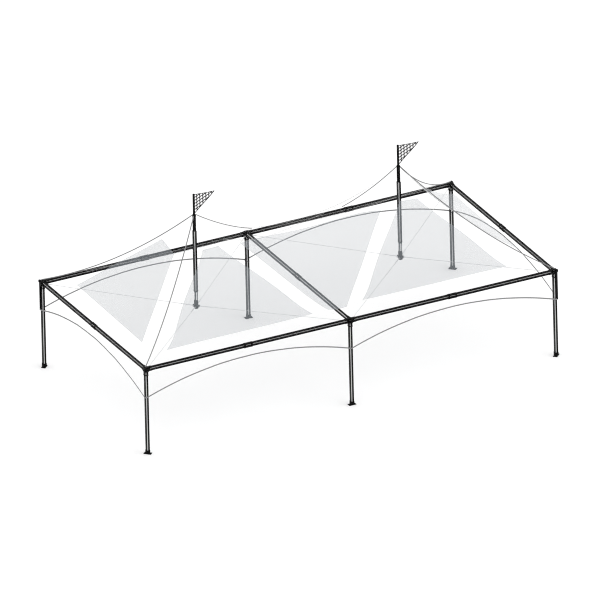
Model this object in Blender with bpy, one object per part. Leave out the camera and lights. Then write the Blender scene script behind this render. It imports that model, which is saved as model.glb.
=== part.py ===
"""A marquee tent with two peaks, modelled in metres with +Z up.

Six legs stand on base plates and carry a rectangle of eave beams with one
cross beam in the middle, so the tent has two square bays. In each bay four
taut cables run from the eave fittings down to the foot of a mast that hangs
over the middle of the bay. The mast lifts the canopy to a peak and carries a
small pennant. X runs along the tent, Y across it, and the origin lies on the
ground under the middle of the cross beam.
"""

import math

import bmesh
import bpy
from mathutils import Matrix, Vector

# Driving dimensions of the frame
BAY = 6.10
EAVE = 2.49
LEG_SIDE = 0.090
BEAM_WIDTH = 0.064
BEAM_HEIGHT = 0.114
TRACK_WIDTH = 0.028
TRACK_DEPTH = 0.005
EDGE_CHAMFER = 0.004
FIT = 0.0003

# Head fittings at the tops of the legs
BLOCK_SIDE = 0.125
BLOCK_HEIGHT = 0.124
SLEEVE_WALL = 0.004
SLEEVE_REACH = 0.170
LEG_SLEEVE_DROP = 0.165
POCKET_START = 0.040
SPLICE_LENGTH = 0.200
LUG_LENGTH = 0.045
LUG_THICKNESS = 0.012
LUG_HEIGHT = 0.040
LUG_DROP = 0.030

# Base plates at the feet of the legs
PLATE_LENGTH = 0.210
PLATE_WIDTH = 0.120
PLATE_THICKNESS = 0.010
SHOE_HEIGHT = 0.100
SHOE_WALL = 0.005

# Masts, from the foot that hangs on the cables up to the pennant pole
MAST_SIDE = 0.090
MAST_FOOT_BOTTOM = 2.287
FOOT_BLOCK_SIDE = 0.086
FOOT_BLOCK_TOP = 2.520
JACK_SIDE = 0.074
MAST_BOTTOM = 2.800
HEAD_BOTTOM = 4.580
HEAD_RADIUS = 0.0460
HEAD_SHOULDER = 5.045
POLE_RADIUS = 0.024
POLE_SHOULDER = 5.085
POLE_TOP = 5.664
ROUND_SIDES = 32

# Cables between the eave fittings and the mast feet
CABLE_RADIUS = 0.0055
TERMINAL_RADIUS = 0.011
TERMINAL_LENGTH = 0.140
CABLE_SIDES = 10
EAR_REACH = 0.095
EAR_THICKNESS = 0.014
EAR_BOTTOM = 2.330
EAR_TOP = 2.400

# Canopy, whose underside is a taut surface over the two peaks
CANOPY_EDGE = 0.066
CANOPY_EDGE_HEIGHT = EAVE + BLOCK_HEIGHT / 2 + 0.0005
CANOPY_PEAK = 5.085
CANOPY_THICKNESS = 0.003
CORNER_SEAM_SAG = 0.49
MIDDLE_SEAM_SAG = 0.76
PANEL_SAG = 0.17
SADDLE_DROP = 0.41
SADDLE_POWER = 2.05
VALLEY_START = 0.12
PEAK_HOLE = 0.0470
SEAM_GAP = 0.0003
SLOPE_STEPS = 12
SIDE_STEPS = 12

# Valance, the curtain that hangs from the eave in one arch to a bay
VALANCE_INSIDE = 0.0630
HEM_AT_LEG = 0.820
HEM_AT_MIDDLE = 0.300
ARCH_STEPS = 18

# Pennants on the poles
PENNANT_LOW = 5.088
PENNANT_HIGH = 5.655
PENNANT_REACH = 0.634
PENNANT_DROOP = 0.035
PENNANT_THICKNESS = 0.003

HALF_LENGTH = BAY
HALF_WIDTH = BAY / 2
LEG_PLACES = {
    "back_left": Vector((-HALF_LENGTH, HALF_WIDTH, 0)),
    "front_left": Vector((-HALF_LENGTH, -HALF_WIDTH, 0)),
    "front_middle": Vector((0, -HALF_WIDTH, 0)),
    "front_right": Vector((HALF_LENGTH, -HALF_WIDTH, 0)),
    "back_right": Vector((HALF_LENGTH, HALF_WIDTH, 0)),
    "back_middle": Vector((0, HALF_WIDTH, 0)),
}
BEAM_ENDS = {
    "front_left_beam": ("front_left", "front_middle"),
    "front_right_beam": ("front_middle", "front_right"),
    "back_left_beam": ("back_left", "back_middle"),
    "back_right_beam": ("back_middle", "back_right"),
    "left_end_beam": ("front_left", "back_left"),
    "right_end_beam": ("front_right", "back_right"),
    "cross_beam": ("front_middle", "back_middle"),
}
MAST_PLACES = {
    "left": Vector((-BAY / 2, 0, 0)),
    "right": Vector((BAY / 2, 0, 0)),
}
BAY_LEGS = {
    "left": ("back_left", "front_left", "front_middle", "back_middle"),
    "right": ("back_middle", "front_middle", "front_right", "back_right"),
}


def clear_scene():
    """Remove whatever the new file came with."""
    for item in list(bpy.data.objects):
        bpy.data.objects.remove(item, do_unlink=True)


def make_material(name, colour, roughness, metallic=0.0, alpha=1.0):
    """Return a material with one Principled BSDF."""
    material = bpy.data.materials.new(name)
    material.use_nodes = True
    shader = material.node_tree.nodes["Principled BSDF"]
    shader.inputs["Base Color"].default_value = (*colour, 1.0)
    shader.inputs["Roughness"].default_value = roughness
    shader.inputs["Metallic"].default_value = metallic
    shader.inputs["Alpha"].default_value = alpha
    return material


def finish_object(name, mesh, material, smooth=False):
    """Put a mesh in the scene as a named object with its material."""
    mesh.materials.append(material)
    if smooth:
        mesh.shade_smooth()
        mesh.set_sharp_from_angle(angle=math.radians(30))
    item = bpy.data.objects.new(name, mesh)
    bpy.context.scene.collection.objects.link(item)
    return item


def mesh_from(name, points, faces):
    """Build a closed mesh from points and faces, with its faces pointing out."""
    mesh = bpy.data.meshes.new(name)
    mesh.from_pydata([tuple(point) for point in points], [], faces)
    work = bmesh.new()
    work.from_mesh(mesh)
    bmesh.ops.recalc_face_normals(work, faces=work.faces)
    work.to_mesh(mesh)
    work.free()
    return mesh


def prism(outline, start, end, sideways, upward):
    """Return points and faces of an outline carried from start to end."""
    count = len(outline)
    points = []
    for place in (start, end):
        for across, up in outline:
            points.append(place + sideways * across + upward * up)
    faces = [list(range(count)), list(range(count, 2 * count))]
    for index in range(count):
        after = (index + 1) % count
        faces.append([index, after, count + after, count + index])
    return points, faces


def lathe(profile, start, direction, sides):
    """Return points and faces of a solid turned around a line.

    The profile is a list of (distance along the line, radius) pairs.
    """
    turn = Vector((0, 0, 1)).rotation_difference(direction).to_matrix()
    points = []
    for along, radius in profile:
        for step in range(sides):
            angle = 2 * math.pi * step / sides
            ring = Vector((radius * math.cos(angle), radius * math.sin(angle), along))
            points.append(start + turn @ ring)
    faces = [list(range(sides)), list(range(len(points) - sides, len(points)))]
    for level in range(len(profile) - 1):
        for step in range(sides):
            after = (step + 1) % sides
            low = level * sides
            high = low + sides
            faces.append([low + step, low + after, high + after, high + step])
    return points, faces


def box_mesh(name, low, high):
    """Return a box between two corners."""
    outline = [(low[0], low[1]), (high[0], low[1]), (high[0], high[1]), (low[0], high[1])]
    points, faces = prism(outline, Vector((0, 0, low[2])), Vector((0, 0, high[2])),
                          Vector((1, 0, 0)), Vector((0, 1, 0)))
    return mesh_from(name, points, faces)


def cutter_object(name, mesh):
    """Put a helper solid in the scene that only cuts or joins another."""
    item = bpy.data.objects.new(name, mesh)
    bpy.context.scene.collection.objects.link(item)
    item.hide_render = True
    item.display_type = "WIRE"
    return item


def combine(item, helper, operation):
    """Join a helper solid to an object, or cut it away."""
    modifier = item.modifiers.new(operation.title(), "BOOLEAN")
    modifier.operation = operation
    modifier.solver = "EXACT"
    modifier.object = helper


def track_outline(width, height, tracks_across, tracks_up):
    """Return the outline of an extrusion with shallow tracks in its sides.

    tracks_across puts a track in the two sides that face sideways, and
    tracks_up one in the top and bottom.
    """
    half_width = width / 2
    half_height = height / 2
    half_track = TRACK_WIDTH / 2
    quarter = [(half_width, 0.0)]
    if tracks_across:
        quarter = [(half_width - TRACK_DEPTH, half_track), (half_width, half_track)]
    quarter.append((half_width, half_height - EDGE_CHAMFER))
    quarter.append((half_width - EDGE_CHAMFER, half_height))
    if tracks_up:
        quarter.append((half_track, half_height))
        quarter.append((half_track, half_height - TRACK_DEPTH))
    right_top = [point for point in quarter if point[1] > 0]
    left_top = [(-across, up) for across, up in reversed(right_top)]
    left_bottom = [(-across, -up) for across, up in right_top]
    right_bottom = [(across, -up) for across, up in reversed(right_top)]
    return right_top + left_top + left_bottom + right_bottom


def base_plate(name, place, turn, material):
    """A plate on the ground with a square shoe that holds the leg."""
    half_plate = Vector((PLATE_LENGTH / 2, PLATE_WIDTH / 2, PLATE_THICKNESS))
    plate = box_mesh(name, (-half_plate.x, -half_plate.y, 0), half_plate)
    item = finish_object(name, plate, material)
    outer = LEG_SIDE / 2 + FIT + SHOE_WALL
    inner = LEG_SIDE / 2 + FIT
    shoe = box_mesh(name + "_shoe", (-outer, -outer, PLATE_THICKNESS / 2),
                    (outer, outer, PLATE_THICKNESS + SHOE_HEIGHT))
    bore = box_mesh(name + "_bore", (-inner, -inner, PLATE_THICKNESS),
                    (inner, inner, PLATE_THICKNESS + SHOE_HEIGHT + 0.01))
    shoe_turn = Matrix.Rotation(-turn, 4, "Z")
    shoe.transform(shoe_turn)
    bore.transform(shoe_turn)
    for mesh, operation in ((shoe, "UNION"), (bore, "DIFFERENCE")):
        helper = cutter_object(mesh.name, mesh)
        helper.parent = item
        combine(item, helper, operation)
    item.location = place
    item.rotation_euler = (0, 0, turn)


def leg(name, place, material):
    """An upright extrusion from its shoe into the head fitting."""
    outline = track_outline(LEG_SIDE, LEG_SIDE, True, True)
    start = place + Vector((0, 0, PLATE_THICKNESS + FIT))
    end = place + Vector((0, 0, EAVE - BLOCK_HEIGHT / 2 - FIT))
    points, faces = prism(outline, start, end, Vector((1, 0, 0)), Vector((0, 1, 0)))
    finish_object(name, mesh_from(name, points, faces), material)


def beam_frame(name):
    """Return a beam's two leg places at eave height, its direction and its side."""
    first, second = BEAM_ENDS[name]
    start = LEG_PLACES[first] + Vector((0, 0, EAVE))
    end = LEG_PLACES[second] + Vector((0, 0, EAVE))
    along = (end - start).normalized()
    side = along.cross(Vector((0, 0, 1)))
    return start, end, along, side


def beam(name, material):
    """A level extrusion between the pockets of two head fittings."""
    start, end, along, side = beam_frame(name)
    outline = track_outline(BEAM_WIDTH, BEAM_HEIGHT, True, False)
    inset = along * (POCKET_START + FIT)
    points, faces = prism(outline, start + inset, end - inset, side, Vector((0, 0, 1)))
    finish_object(name, mesh_from(name, points, faces), material)


def splice_sleeve(name, material):
    """The sleeve that joins a beam's two lengths in the middle of its span."""
    start, end, along, side = beam_frame(name)
    middle = (start + end) / 2
    inner_x = BEAM_WIDTH / 2 + FIT
    inner_z = BEAM_HEIGHT / 2 + FIT
    outer_x = inner_x + SLEEVE_WALL
    outer_z = inner_z + SLEEVE_WALL
    points = []
    for shift in (-SPLICE_LENGTH / 2, SPLICE_LENGTH / 2):
        for half_x, half_z in ((outer_x, outer_z), (inner_x, inner_z)):
            for turn_x, turn_z in ((1, 1), (-1, 1), (-1, -1), (1, -1)):
                points.append(middle + along * shift + side * half_x * turn_x
                              + Vector((0, 0, half_z * turn_z)))
    faces = []
    for corner in range(4):
        after = (corner + 1) % 4
        faces.append([corner, after, after + 8, corner + 8])
        faces.append([corner + 4, after + 4, after + 12, corner + 12])
        faces.append([corner, after, after + 4, corner + 4])
        faces.append([corner + 8, after + 8, after + 12, corner + 12])
    finish_object(name.replace("beam", "splice"), mesh_from(name, points, faces), material)


def oriented_box(name, start, along, length, side, width, height):
    """Return a box that starts at a point and runs along a level direction."""
    outline = [(-width / 2, -height / 2), (width / 2, -height / 2),
               (width / 2, height / 2), (-width / 2, height / 2)]
    points, faces = prism(outline, start, start + along * length, side, Vector((0, 0, 1)))
    return mesh_from(name, points, faces)


def head_fitting(leg_name, material):
    """A block with sleeves for the leg and beams, and a lug for each cable."""
    place = LEG_PLACES[leg_name] + Vector((0, 0, EAVE))
    name = leg_name + "_head_fitting"
    half = BLOCK_SIDE / 2
    block = box_mesh(name, (-half, -half, -BLOCK_HEIGHT / 2), (half, half, BLOCK_HEIGHT / 2))
    item = finish_object(name, block, material)
    item.location = place
    joined = []
    cut = []
    outer = LEG_SIDE / 2 + FIT + SLEEVE_WALL
    inner = LEG_SIDE / 2 + FIT
    joined.append(box_mesh(name + "_leg_sleeve", (-outer, -outer, -LEG_SLEEVE_DROP),
                           (outer, outer, -BLOCK_HEIGHT / 2 + SLEEVE_WALL)))
    cut.append(box_mesh(name + "_leg_pocket", (-inner, -inner, -LEG_SLEEVE_DROP - 0.01),
                        (inner, inner, -BLOCK_HEIGHT / 2)))
    for beam_name, ends in BEAM_ENDS.items():
        if leg_name not in ends:
            continue
        start, end, along, side = beam_frame(beam_name)
        outward = along if leg_name == ends[0] else -along
        pocket_width = BEAM_WIDTH + 2 * FIT
        pocket_height = BEAM_HEIGHT + 2 * FIT
        joined.append(oriented_box(name + "_sleeve", outward * POCKET_START, outward,
                                   SLEEVE_REACH - POCKET_START, side,
                                   pocket_width + 2 * SLEEVE_WALL,
                                   pocket_height + 2 * SLEEVE_WALL - FIT))
        cut.append(oriented_box(name + "_pocket", outward * POCKET_START, outward,
                                SLEEVE_REACH, side, pocket_width, pocket_height))
    for bay, legs in BAY_LEGS.items():
        if leg_name not in legs:
            continue
        toward = (MAST_PLACES[bay] - LEG_PLACES[leg_name]).normalized()
        side = toward.cross(Vector((0, 0, 1)))
        start = toward * half + Vector((0, 0, -LUG_DROP))
        joined.append(oriented_box(name + "_lug", start, toward, lug_end() - half, side,
                                   LUG_THICKNESS, LUG_HEIGHT))
    for meshes, operation in ((joined, "UNION"), (cut, "DIFFERENCE")):
        for mesh in meshes:
            helper = cutter_object(mesh.name, mesh)
            helper.parent = item
            combine(item, helper, operation)


def lug_end():
    """Distance from a leg's centre line to the end of its cable lug."""
    return BLOCK_SIDE / math.sqrt(2) + LUG_LENGTH


def mast_foot(bay, material):
    """The square jack under a mast, with a block and four cable ears."""
    name = bay + "_mast_foot"
    half = FOOT_BLOCK_SIDE / 2
    block = box_mesh(name, (-half, -half, MAST_FOOT_BOTTOM), (half, half, FOOT_BLOCK_TOP))
    item = finish_object(name, block, material)
    half = JACK_SIDE / 2
    helpers = [box_mesh(name + "_jack", (-half, -half, FOOT_BLOCK_TOP - 0.020),
                        (half, half, MAST_BOTTOM - FIT))]
    ear_height = EAR_TOP - EAR_BOTTOM
    ear_middle = Vector((0, 0, (EAR_TOP + EAR_BOTTOM) / 2))
    for turn in (1, 3):
        direction = Vector((math.cos(turn * math.pi / 4), math.sin(turn * math.pi / 4), 0))
        side = direction.cross(Vector((0, 0, 1)))
        helpers.append(oriented_box(name + "_ears", ear_middle - direction * EAR_REACH,
                                    direction, 2 * EAR_REACH, side, EAR_THICKNESS, ear_height))
    for mesh in helpers:
        helper = cutter_object(mesh.name, mesh)
        helper.parent = item
        combine(item, helper, "UNION")
    item.location = MAST_PLACES[bay]


def mast(bay, material):
    """The square extrusion from the jack up to the head."""
    name = bay + "_mast"
    outline = track_outline(MAST_SIDE, MAST_SIDE, True, True)
    start = MAST_PLACES[bay] + Vector((0, 0, MAST_BOTTOM))
    end = MAST_PLACES[bay] + Vector((0, 0, HEAD_BOTTOM - FIT))
    points, faces = prism(outline, start, end, Vector((1, 0, 0)), Vector((0, 1, 0)))
    finish_object(name, mesh_from(name, points, faces), material)


def mast_head(bay, material):
    """The narrower tube at the peak, its shoulder and the pennant pole."""
    name = bay + "_mast_head"
    start = MAST_PLACES[bay] + Vector((0, 0, HEAD_BOTTOM))
    profile = [
        (0, HEAD_RADIUS),
        (HEAD_SHOULDER - HEAD_BOTTOM, HEAD_RADIUS),
        (POLE_SHOULDER - HEAD_BOTTOM, POLE_RADIUS),
        (POLE_TOP - HEAD_BOTTOM, POLE_RADIUS),
    ]
    points, faces = lathe(profile, start, Vector((0, 0, 1)), ROUND_SIDES)
    finish_object(name, mesh_from(name, points, faces), material, smooth=True)


def cable(bay, leg_name, material):
    """A taut cable with a terminal at each end, from fitting lug to mast ear."""
    toward = (MAST_PLACES[bay] - LEG_PLACES[leg_name]).normalized()
    start = LEG_PLACES[leg_name] + toward * (lug_end() + FIT)
    start += Vector((0, 0, EAVE - LUG_DROP))
    end = MAST_PLACES[bay] - toward * (EAR_REACH + FIT)
    end += Vector((0, 0, (EAR_TOP + EAR_BOTTOM) / 2))
    direction = (end - start).normalized()
    tilt_room = TERMINAL_RADIUS * abs(direction.z)
    start += direction * tilt_room
    length = (end - start).length - tilt_room
    taper = TERMINAL_RADIUS
    profile = [
        (0, TERMINAL_RADIUS),
        (TERMINAL_LENGTH, TERMINAL_RADIUS),
        (TERMINAL_LENGTH + taper, CABLE_RADIUS),
        (length - TERMINAL_LENGTH - taper, CABLE_RADIUS),
        (length - TERMINAL_LENGTH, TERMINAL_RADIUS),
        (length, TERMINAL_RADIUS),
    ]
    points, faces = lathe(profile, start, direction, CABLE_SIDES)
    name = leg_name + "_cable"
    if "middle" in leg_name:
        name = leg_name + "_to_" + bay + "_cable"
    finish_object(name, mesh_from(name, points, faces), material, smooth=True)


def rise_with_sag(share, sag):
    """Height share of a line up the canopy, from 0 at the eave to 1 at the peak."""
    return share - sag * share * (1 - share)


def smooth_step(share):
    """Ease from 0 to 1, level at both ends."""
    share = min(max(share, 0.0), 1.0)
    return share * share * (3 - 2 * share)


def seam_sag(corner):
    """Sag of the seam from an eave corner, which is deeper at a middle leg."""
    return CORNER_SEAM_SAG if corner.x else MIDDLE_SEAM_SAG


def peak_slope_point(corners, peak, share, side):
    """A point on a slope that narrows to a peak.

    share runs from 0 at the eave to 1 at the peak, and side from -1 to 1.
    """
    first, second = corners
    left = first.lerp(peak, share)
    right = second.lerp(peak, share)
    seam = (right - left).normalized() * SEAM_GAP * math.sqrt(2)
    place = (left + seam).lerp(right - seam, (side + 1) / 2)
    toward_second = smooth_step((side + 1) / 2)
    sag = seam_sag(first) * (1 - toward_second) + seam_sag(second) * toward_second
    rise = rise_with_sag(share, sag + PANEL_SAG * (1 - side * side))
    height = CANOPY_EDGE_HEIGHT + (CANOPY_PEAK - CANOPY_EDGE_HEIGHT) * rise
    return Vector((place.x, place.y, height))


def peak_slope_share(corners, peak, side, top):
    """How far up the slope a line runs before it meets the mast's hole."""
    first, second = corners
    base = first.lerp(second, (side + 1) / 2)
    return top * (1 - PEAK_HOLE / (base - peak).length)


def saddle_point(front, share, across):
    """A point on the slope between the peaks, which narrows to a middle leg.

    share runs from 0 at the eave to 1 on the saddle between the peaks, and
    across from -1 to 1. The valley along its middle starts level at the leg
    and ends level on the saddle.
    """
    half_bay = BAY / 2
    depth = HALF_WIDTH + CANOPY_EDGE
    left_over = depth * (1 - share)
    seam = SEAM_GAP * math.sqrt(2)
    reach = half_bay * share
    if left_over < PEAK_HOLE / math.sqrt(2):
        reach = half_bay - math.sqrt(PEAK_HOLE ** 2 - left_over ** 2)
    x = across * (reach - seam)
    side = min(abs(x) / (half_bay * share), 1)
    valley = (1 - SADDLE_DROP) * smooth_step((share - VALLEY_START) / (1 - VALLEY_START))
    rise = valley + (rise_with_sag(share, MIDDLE_SEAM_SAG) - valley) * side ** SADDLE_POWER
    height = CANOPY_EDGE_HEIGHT + (CANOPY_PEAK - CANOPY_EDGE_HEIGHT) * rise
    return Vector((x, front * max(left_over, SEAM_GAP), height))


def sheet_object(name, rows, material):
    """A cloth solid with its underside on a grid of points."""
    points = [point for row in rows for point in row]
    width = len(rows[0])
    faces = []
    for row in range(len(rows) - 1):
        for column in range(width - 1):
            first = row * width + column
            faces.append([first, first + 1, first + width + 1, first + width])
    mesh = bpy.data.meshes.new(name)
    mesh.from_pydata([tuple(point) for point in points], [], faces)
    if sum(face.normal.z for face in mesh.polygons) < 0:
        mesh.flip_normals()
    item = finish_object(name, mesh, material, smooth=True)
    solid = item.modifiers.new("Thickness", "SOLIDIFY")
    solid.thickness = CANOPY_THICKNESS
    solid.offset = 1
    return item


def canopy_slope(name, corners, bay, material):
    """One cloth panel from the eave to a peak, with an arc cut for the mast."""
    peak = MAST_PLACES[bay].to_2d()
    rows = []
    for step in range(SLOPE_STEPS + 1):
        row = []
        for part in range(SIDE_STEPS + 1):
            side = 2 * part / SIDE_STEPS - 1
            share = peak_slope_share(corners, peak, side, step / SLOPE_STEPS)
            row.append(peak_slope_point(corners, peak, share, side))
        rows.append(row)
    sheet_object(name, rows, material)


def canopy_saddle(name, front, material):
    """One cloth panel from a middle leg up to the saddle between the peaks."""
    depth = HALF_WIDTH + CANOPY_EDGE
    hole_share = 1 - PEAK_HOLE / math.sqrt(2) / depth
    shares = []
    for step in range(SLOPE_STEPS + 1):
        shares.append(max(hole_share * step / SLOPE_STEPS, 0.004))
    for step in (1, 2, 3):
        shares.append(hole_share + (1 - hole_share) * step / 3)
    rows = []
    for share in shares:
        row = []
        for part in range(2 * SIDE_STEPS + 1):
            row.append(saddle_point(front, share, part / SIDE_STEPS - 1))
        rows.append(row)
    sheet_object(name, rows, material)


def valance_outline(reach, arches):
    """The outline of a curtain as (along, height) pairs, with one arch a span.

    arches lists the span's leg places along the curtain.
    """
    top = CANOPY_EDGE_HEIGHT - FIT
    outline = [(reach, top), (-reach, top), (-reach, EAVE - HEM_AT_LEG)]
    for first, second in zip(arches, arches[1:]):
        middle = (first + second) / 2
        for step in range(ARCH_STEPS + 1):
            side = 2 * step / ARCH_STEPS - 1
            drop = HEM_AT_MIDDLE + (HEM_AT_LEG - HEM_AT_MIDDLE) * side * side
            along = middle + side * (second - first) / 2
            if step or first == arches[0]:
                outline.append((along, EAVE - drop))
    outline.append((reach, EAVE - HEM_AT_LEG))
    return outline


def valance(name, reach, arches, along, outward, distance, material):
    """A thin curtain outside the beams, from the canopy's edge to its hem."""
    start = outward * (distance + VALANCE_INSIDE)
    end = outward * (distance + CANOPY_EDGE)
    points, faces = prism(valance_outline(reach, arches), start, end, along, Vector((0, 0, 1)))
    finish_object(name, mesh_from(name, points, faces), material)


def pennant(bay, material):
    """A small triangular flag that flies from its pole along the tent."""
    name = bay + "_pennant"
    place = MAST_PLACES[bay]
    hoist = POLE_RADIUS + FIT
    outline = [
        (hoist, PENNANT_LOW),
        (PENNANT_REACH, PENNANT_HIGH - PENNANT_DROOP),
        (hoist, PENNANT_HIGH),
    ]
    half = Vector((0, PENNANT_THICKNESS / 2, 0))
    points, faces = prism(outline, place - half, place + half,
                          Vector((1, 0, 0)), Vector((0, 0, 1)))
    finish_object(name, mesh_from(name, points, faces), material)


def main():
    clear_scene()
    frame_metal = make_material("black_anodised_aluminium", (0.012, 0.012, 0.013), 0.42, 0.6)
    fitting_metal = make_material("black_cast_fitting", (0.008, 0.008, 0.009), 0.5, 0.4)
    cable_steel = make_material("galvanised_cable", (0.55, 0.56, 0.57), 0.35, 0.9)
    clear_film = make_material("clear_canopy_film", (0.9, 0.92, 0.93), 0.2, 0.0, 0.35)
    pennant_mesh = make_material("pennant_mesh", (0.22, 0.22, 0.23), 0.8)

    for leg_name, place in LEG_PLACES.items():
        turn = 0.0
        if place.x:
            turn = math.radians(-45) if place.x * place.y > 0 else math.radians(45)
        base_plate(leg_name + "_base_plate", place, turn, fitting_metal)
        leg(leg_name + "_leg", place, frame_metal)
        head_fitting(leg_name, fitting_metal)
    for beam_name in BEAM_ENDS:
        beam(beam_name, frame_metal)
        splice_sleeve(beam_name, fitting_metal)
    for bay, leg_names in BAY_LEGS.items():
        mast_foot(bay, fitting_metal)
        mast(bay, frame_metal)
        mast_head(bay, fitting_metal)
        pennant(bay, pennant_mesh)
        for leg_name in leg_names:
            cable(bay, leg_name, cable_steel)

    edge_x = HALF_LENGTH + CANOPY_EDGE
    edge_y = HALF_WIDTH + CANOPY_EDGE
    for side_name, side in (("front", -1), ("back", 1)):
        middle = Vector((0, side * edge_y))
        for bay, turn in (("left", -1), ("right", 1)):
            corner = Vector((turn * edge_x, side * edge_y))
            canopy_slope("canopy_" + side_name + "_" + bay, (corner, middle), bay, clear_film)
        canopy_saddle("canopy_" + side_name + "_saddle", side, clear_film)
        valance(side_name + "_valance", edge_x, (-BAY, 0, BAY), Vector((1, 0, 0)),
                Vector((0, side, 0)), HALF_WIDTH, clear_film)
    for bay, turn in (("left", -1), ("right", 1)):
        corners = (Vector((turn * edge_x, -edge_y)), Vector((turn * edge_x, edge_y)))
        canopy_slope("canopy_" + bay + "_end", corners, bay, clear_film)
        valance(bay + "_end_valance", HALF_WIDTH + VALANCE_INSIDE - FIT,
                (-HALF_WIDTH, HALF_WIDTH), Vector((0, 1, 0)), Vector((turn, 0, 0)),
                HALF_LENGTH, clear_film)


main()
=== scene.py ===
# %% [markdown]
# # A marquee tent with two peaks
#
# The tent's frame comes ready made as solid parts: legs, eave beams, splices,
# head fittings, masts and base plates. This lesson dresses it. It lays a clear
# canopy over the peaks, hangs the valance, lays the wire ropes, and gives each
# surface the finish of the real thing.

# %% Load the frame
import math

import bpy
from mathutils import Matrix, Vector


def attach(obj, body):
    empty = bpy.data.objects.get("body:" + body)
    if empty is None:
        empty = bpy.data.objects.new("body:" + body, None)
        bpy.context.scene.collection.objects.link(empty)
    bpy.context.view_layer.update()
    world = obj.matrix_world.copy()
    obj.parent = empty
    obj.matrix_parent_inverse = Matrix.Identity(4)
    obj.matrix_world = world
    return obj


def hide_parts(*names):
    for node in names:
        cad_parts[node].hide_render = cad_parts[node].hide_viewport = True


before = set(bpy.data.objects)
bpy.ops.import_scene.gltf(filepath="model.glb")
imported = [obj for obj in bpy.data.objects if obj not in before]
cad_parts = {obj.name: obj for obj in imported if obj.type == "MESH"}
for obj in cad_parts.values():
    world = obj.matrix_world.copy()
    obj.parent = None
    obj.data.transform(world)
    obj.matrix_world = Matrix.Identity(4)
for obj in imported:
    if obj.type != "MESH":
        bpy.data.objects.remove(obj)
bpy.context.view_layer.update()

# %% [markdown]
# ## Measures
#
# The scene shares one frame with the solids, in metres, so every piece goes
# where the solids say. A bay is the square between four legs. The beams lie at
# eave height, and a mast hangs over the middle of each bay.

# %% The tent's own measures
UP = Vector((0, 0, 1))
BAY = 6.10
HALF_WIDTH = BAY / 2
EAVE = 2.49
LEG_SIDE = 0.090
BEAM_WIDTH = 0.064
BEAM_HEIGHT = 0.114
MAST_SIDE = 0.090
MAST_BOTTOM = 2.800
HEAD_BOTTOM = 4.580
PEAK_HEIGHT = 5.085
SLEEVE_WALL = 0.0043
LEG_PLACES = {
    "back_left": Vector((-BAY, HALF_WIDTH, 0)),
    "front_left": Vector((-BAY, -HALF_WIDTH, 0)),
    "front_middle": Vector((0, -HALF_WIDTH, 0)),
    "front_right": Vector((BAY, -HALF_WIDTH, 0)),
    "back_right": Vector((BAY, HALF_WIDTH, 0)),
    "back_middle": Vector((0, HALF_WIDTH, 0)),
}
MAST_PLACES = {"left": Vector((-BAY / 2, 0, 0)), "right": Vector((BAY / 2, 0, 0))}
BEAM_ENDS = {
    "front_left_beam": ("front_left", "front_middle"),
    "front_right_beam": ("front_middle", "front_right"),
    "back_left_beam": ("back_left", "back_middle"),
    "back_right_beam": ("back_middle", "back_right"),
    "left_end_beam": ("front_left", "back_left"),
    "right_end_beam": ("front_right", "back_right"),
    "cross_beam": ("front_middle", "back_middle"),
}


def way_between(first, second):
    """The direction from one leg to another."""
    return (LEG_PLACES[second] - LEG_PLACES[first]).normalized()


def middle_of(first, second):
    """The middle of the beam between two legs."""
    return (LEG_PLACES[first] + LEG_PLACES[second]) / 2 + UP * EAVE


def arms(leg_name):
    """The directions in which beams leave a leg."""
    return [way_between(leg_name, second if first == leg_name else first)
            for first, second in BEAM_ENDS.values() if leg_name in (first, second)]


print(len(LEG_PLACES), "legs and", len(BEAM_ENDS), "beams, with the eave at", EAVE, "m")

# %% [markdown]
# ## Camera, floor and light
#
# The picture is a parallel projection, so the camera is orthographic. Its
# three directions are worked out from an azimuth and an elevation, and a small
# roll makes the uprights lean as they do in the picture. The floor is large
# and pale. A bright, even sky does most of the lighting, and a wide, weak sun
# from the right gives the frame some form without a hard shadow.

# %% Camera
AZIMUTH = math.radians(-26.273)
ELEVATION = math.radians(25.783)
ROLL = math.radians(-1.383)
PICTURE_WIDTH = 15.986
AIM_RIGHT = 0.0318
AIM_UP = 1.6245
CAMERA_DISTANCE = 40


def add_object(name, data):
    """Add an object to the scene."""
    thing = bpy.data.objects.new(name, data)
    bpy.context.scene.collection.objects.link(thing)
    return thing


to_right = Vector((math.cos(AZIMUTH), math.sin(AZIMUTH), 0))
inward = Vector((-math.sin(AZIMUTH), math.cos(AZIMUTH), 0))
to_camera = -inward * math.cos(ELEVATION) + UP * math.sin(ELEVATION)
upward = to_camera.cross(to_right)
aim = to_right * AIM_RIGHT + upward * AIM_UP
lens = bpy.data.cameras.new("picture_camera")
lens.type = "ORTHO"
lens.ortho_scale = PICTURE_WIDTH
lens.clip_end = 200
camera = add_object("picture_camera", lens)
turn = Matrix((to_right, upward, to_camera)).transposed().to_4x4()
stand = Matrix.Translation(aim + to_camera * CAMERA_DISTANCE)
camera.matrix_world = stand @ turn @ Matrix.Rotation(ROLL, 4, "Z")
bpy.context.scene.camera = camera
print("The camera sees", PICTURE_WIDTH, "m across")

# %% Light
SKY_STRENGTH = 1.09
SUN_STRENGTH = 0.62
scene = bpy.context.scene
scene.view_settings.view_transform = "Standard"
scene.cycles.transparent_max_bounces = 40
scene.cycles.filter_width = 1.1
sky = bpy.data.worlds.new("studio_dome")
sky.use_nodes = True
sky.node_tree.nodes["Background"].inputs["Color"].default_value = (1, 1, 1, 1)
sky.node_tree.nodes["Background"].inputs["Strength"].default_value = SKY_STRENGTH
scene.world = sky
lamp = bpy.data.lights.new("wide_sun", "SUN")
lamp.energy = SUN_STRENGTH
lamp.angle = math.radians(50)
sun = add_object("wide_sun", lamp)
sun.rotation_euler = (math.radians(28), math.radians(24), 0)
print("Sky strength", SKY_STRENGTH, "and sun strength", SUN_STRENGTH)

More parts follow.
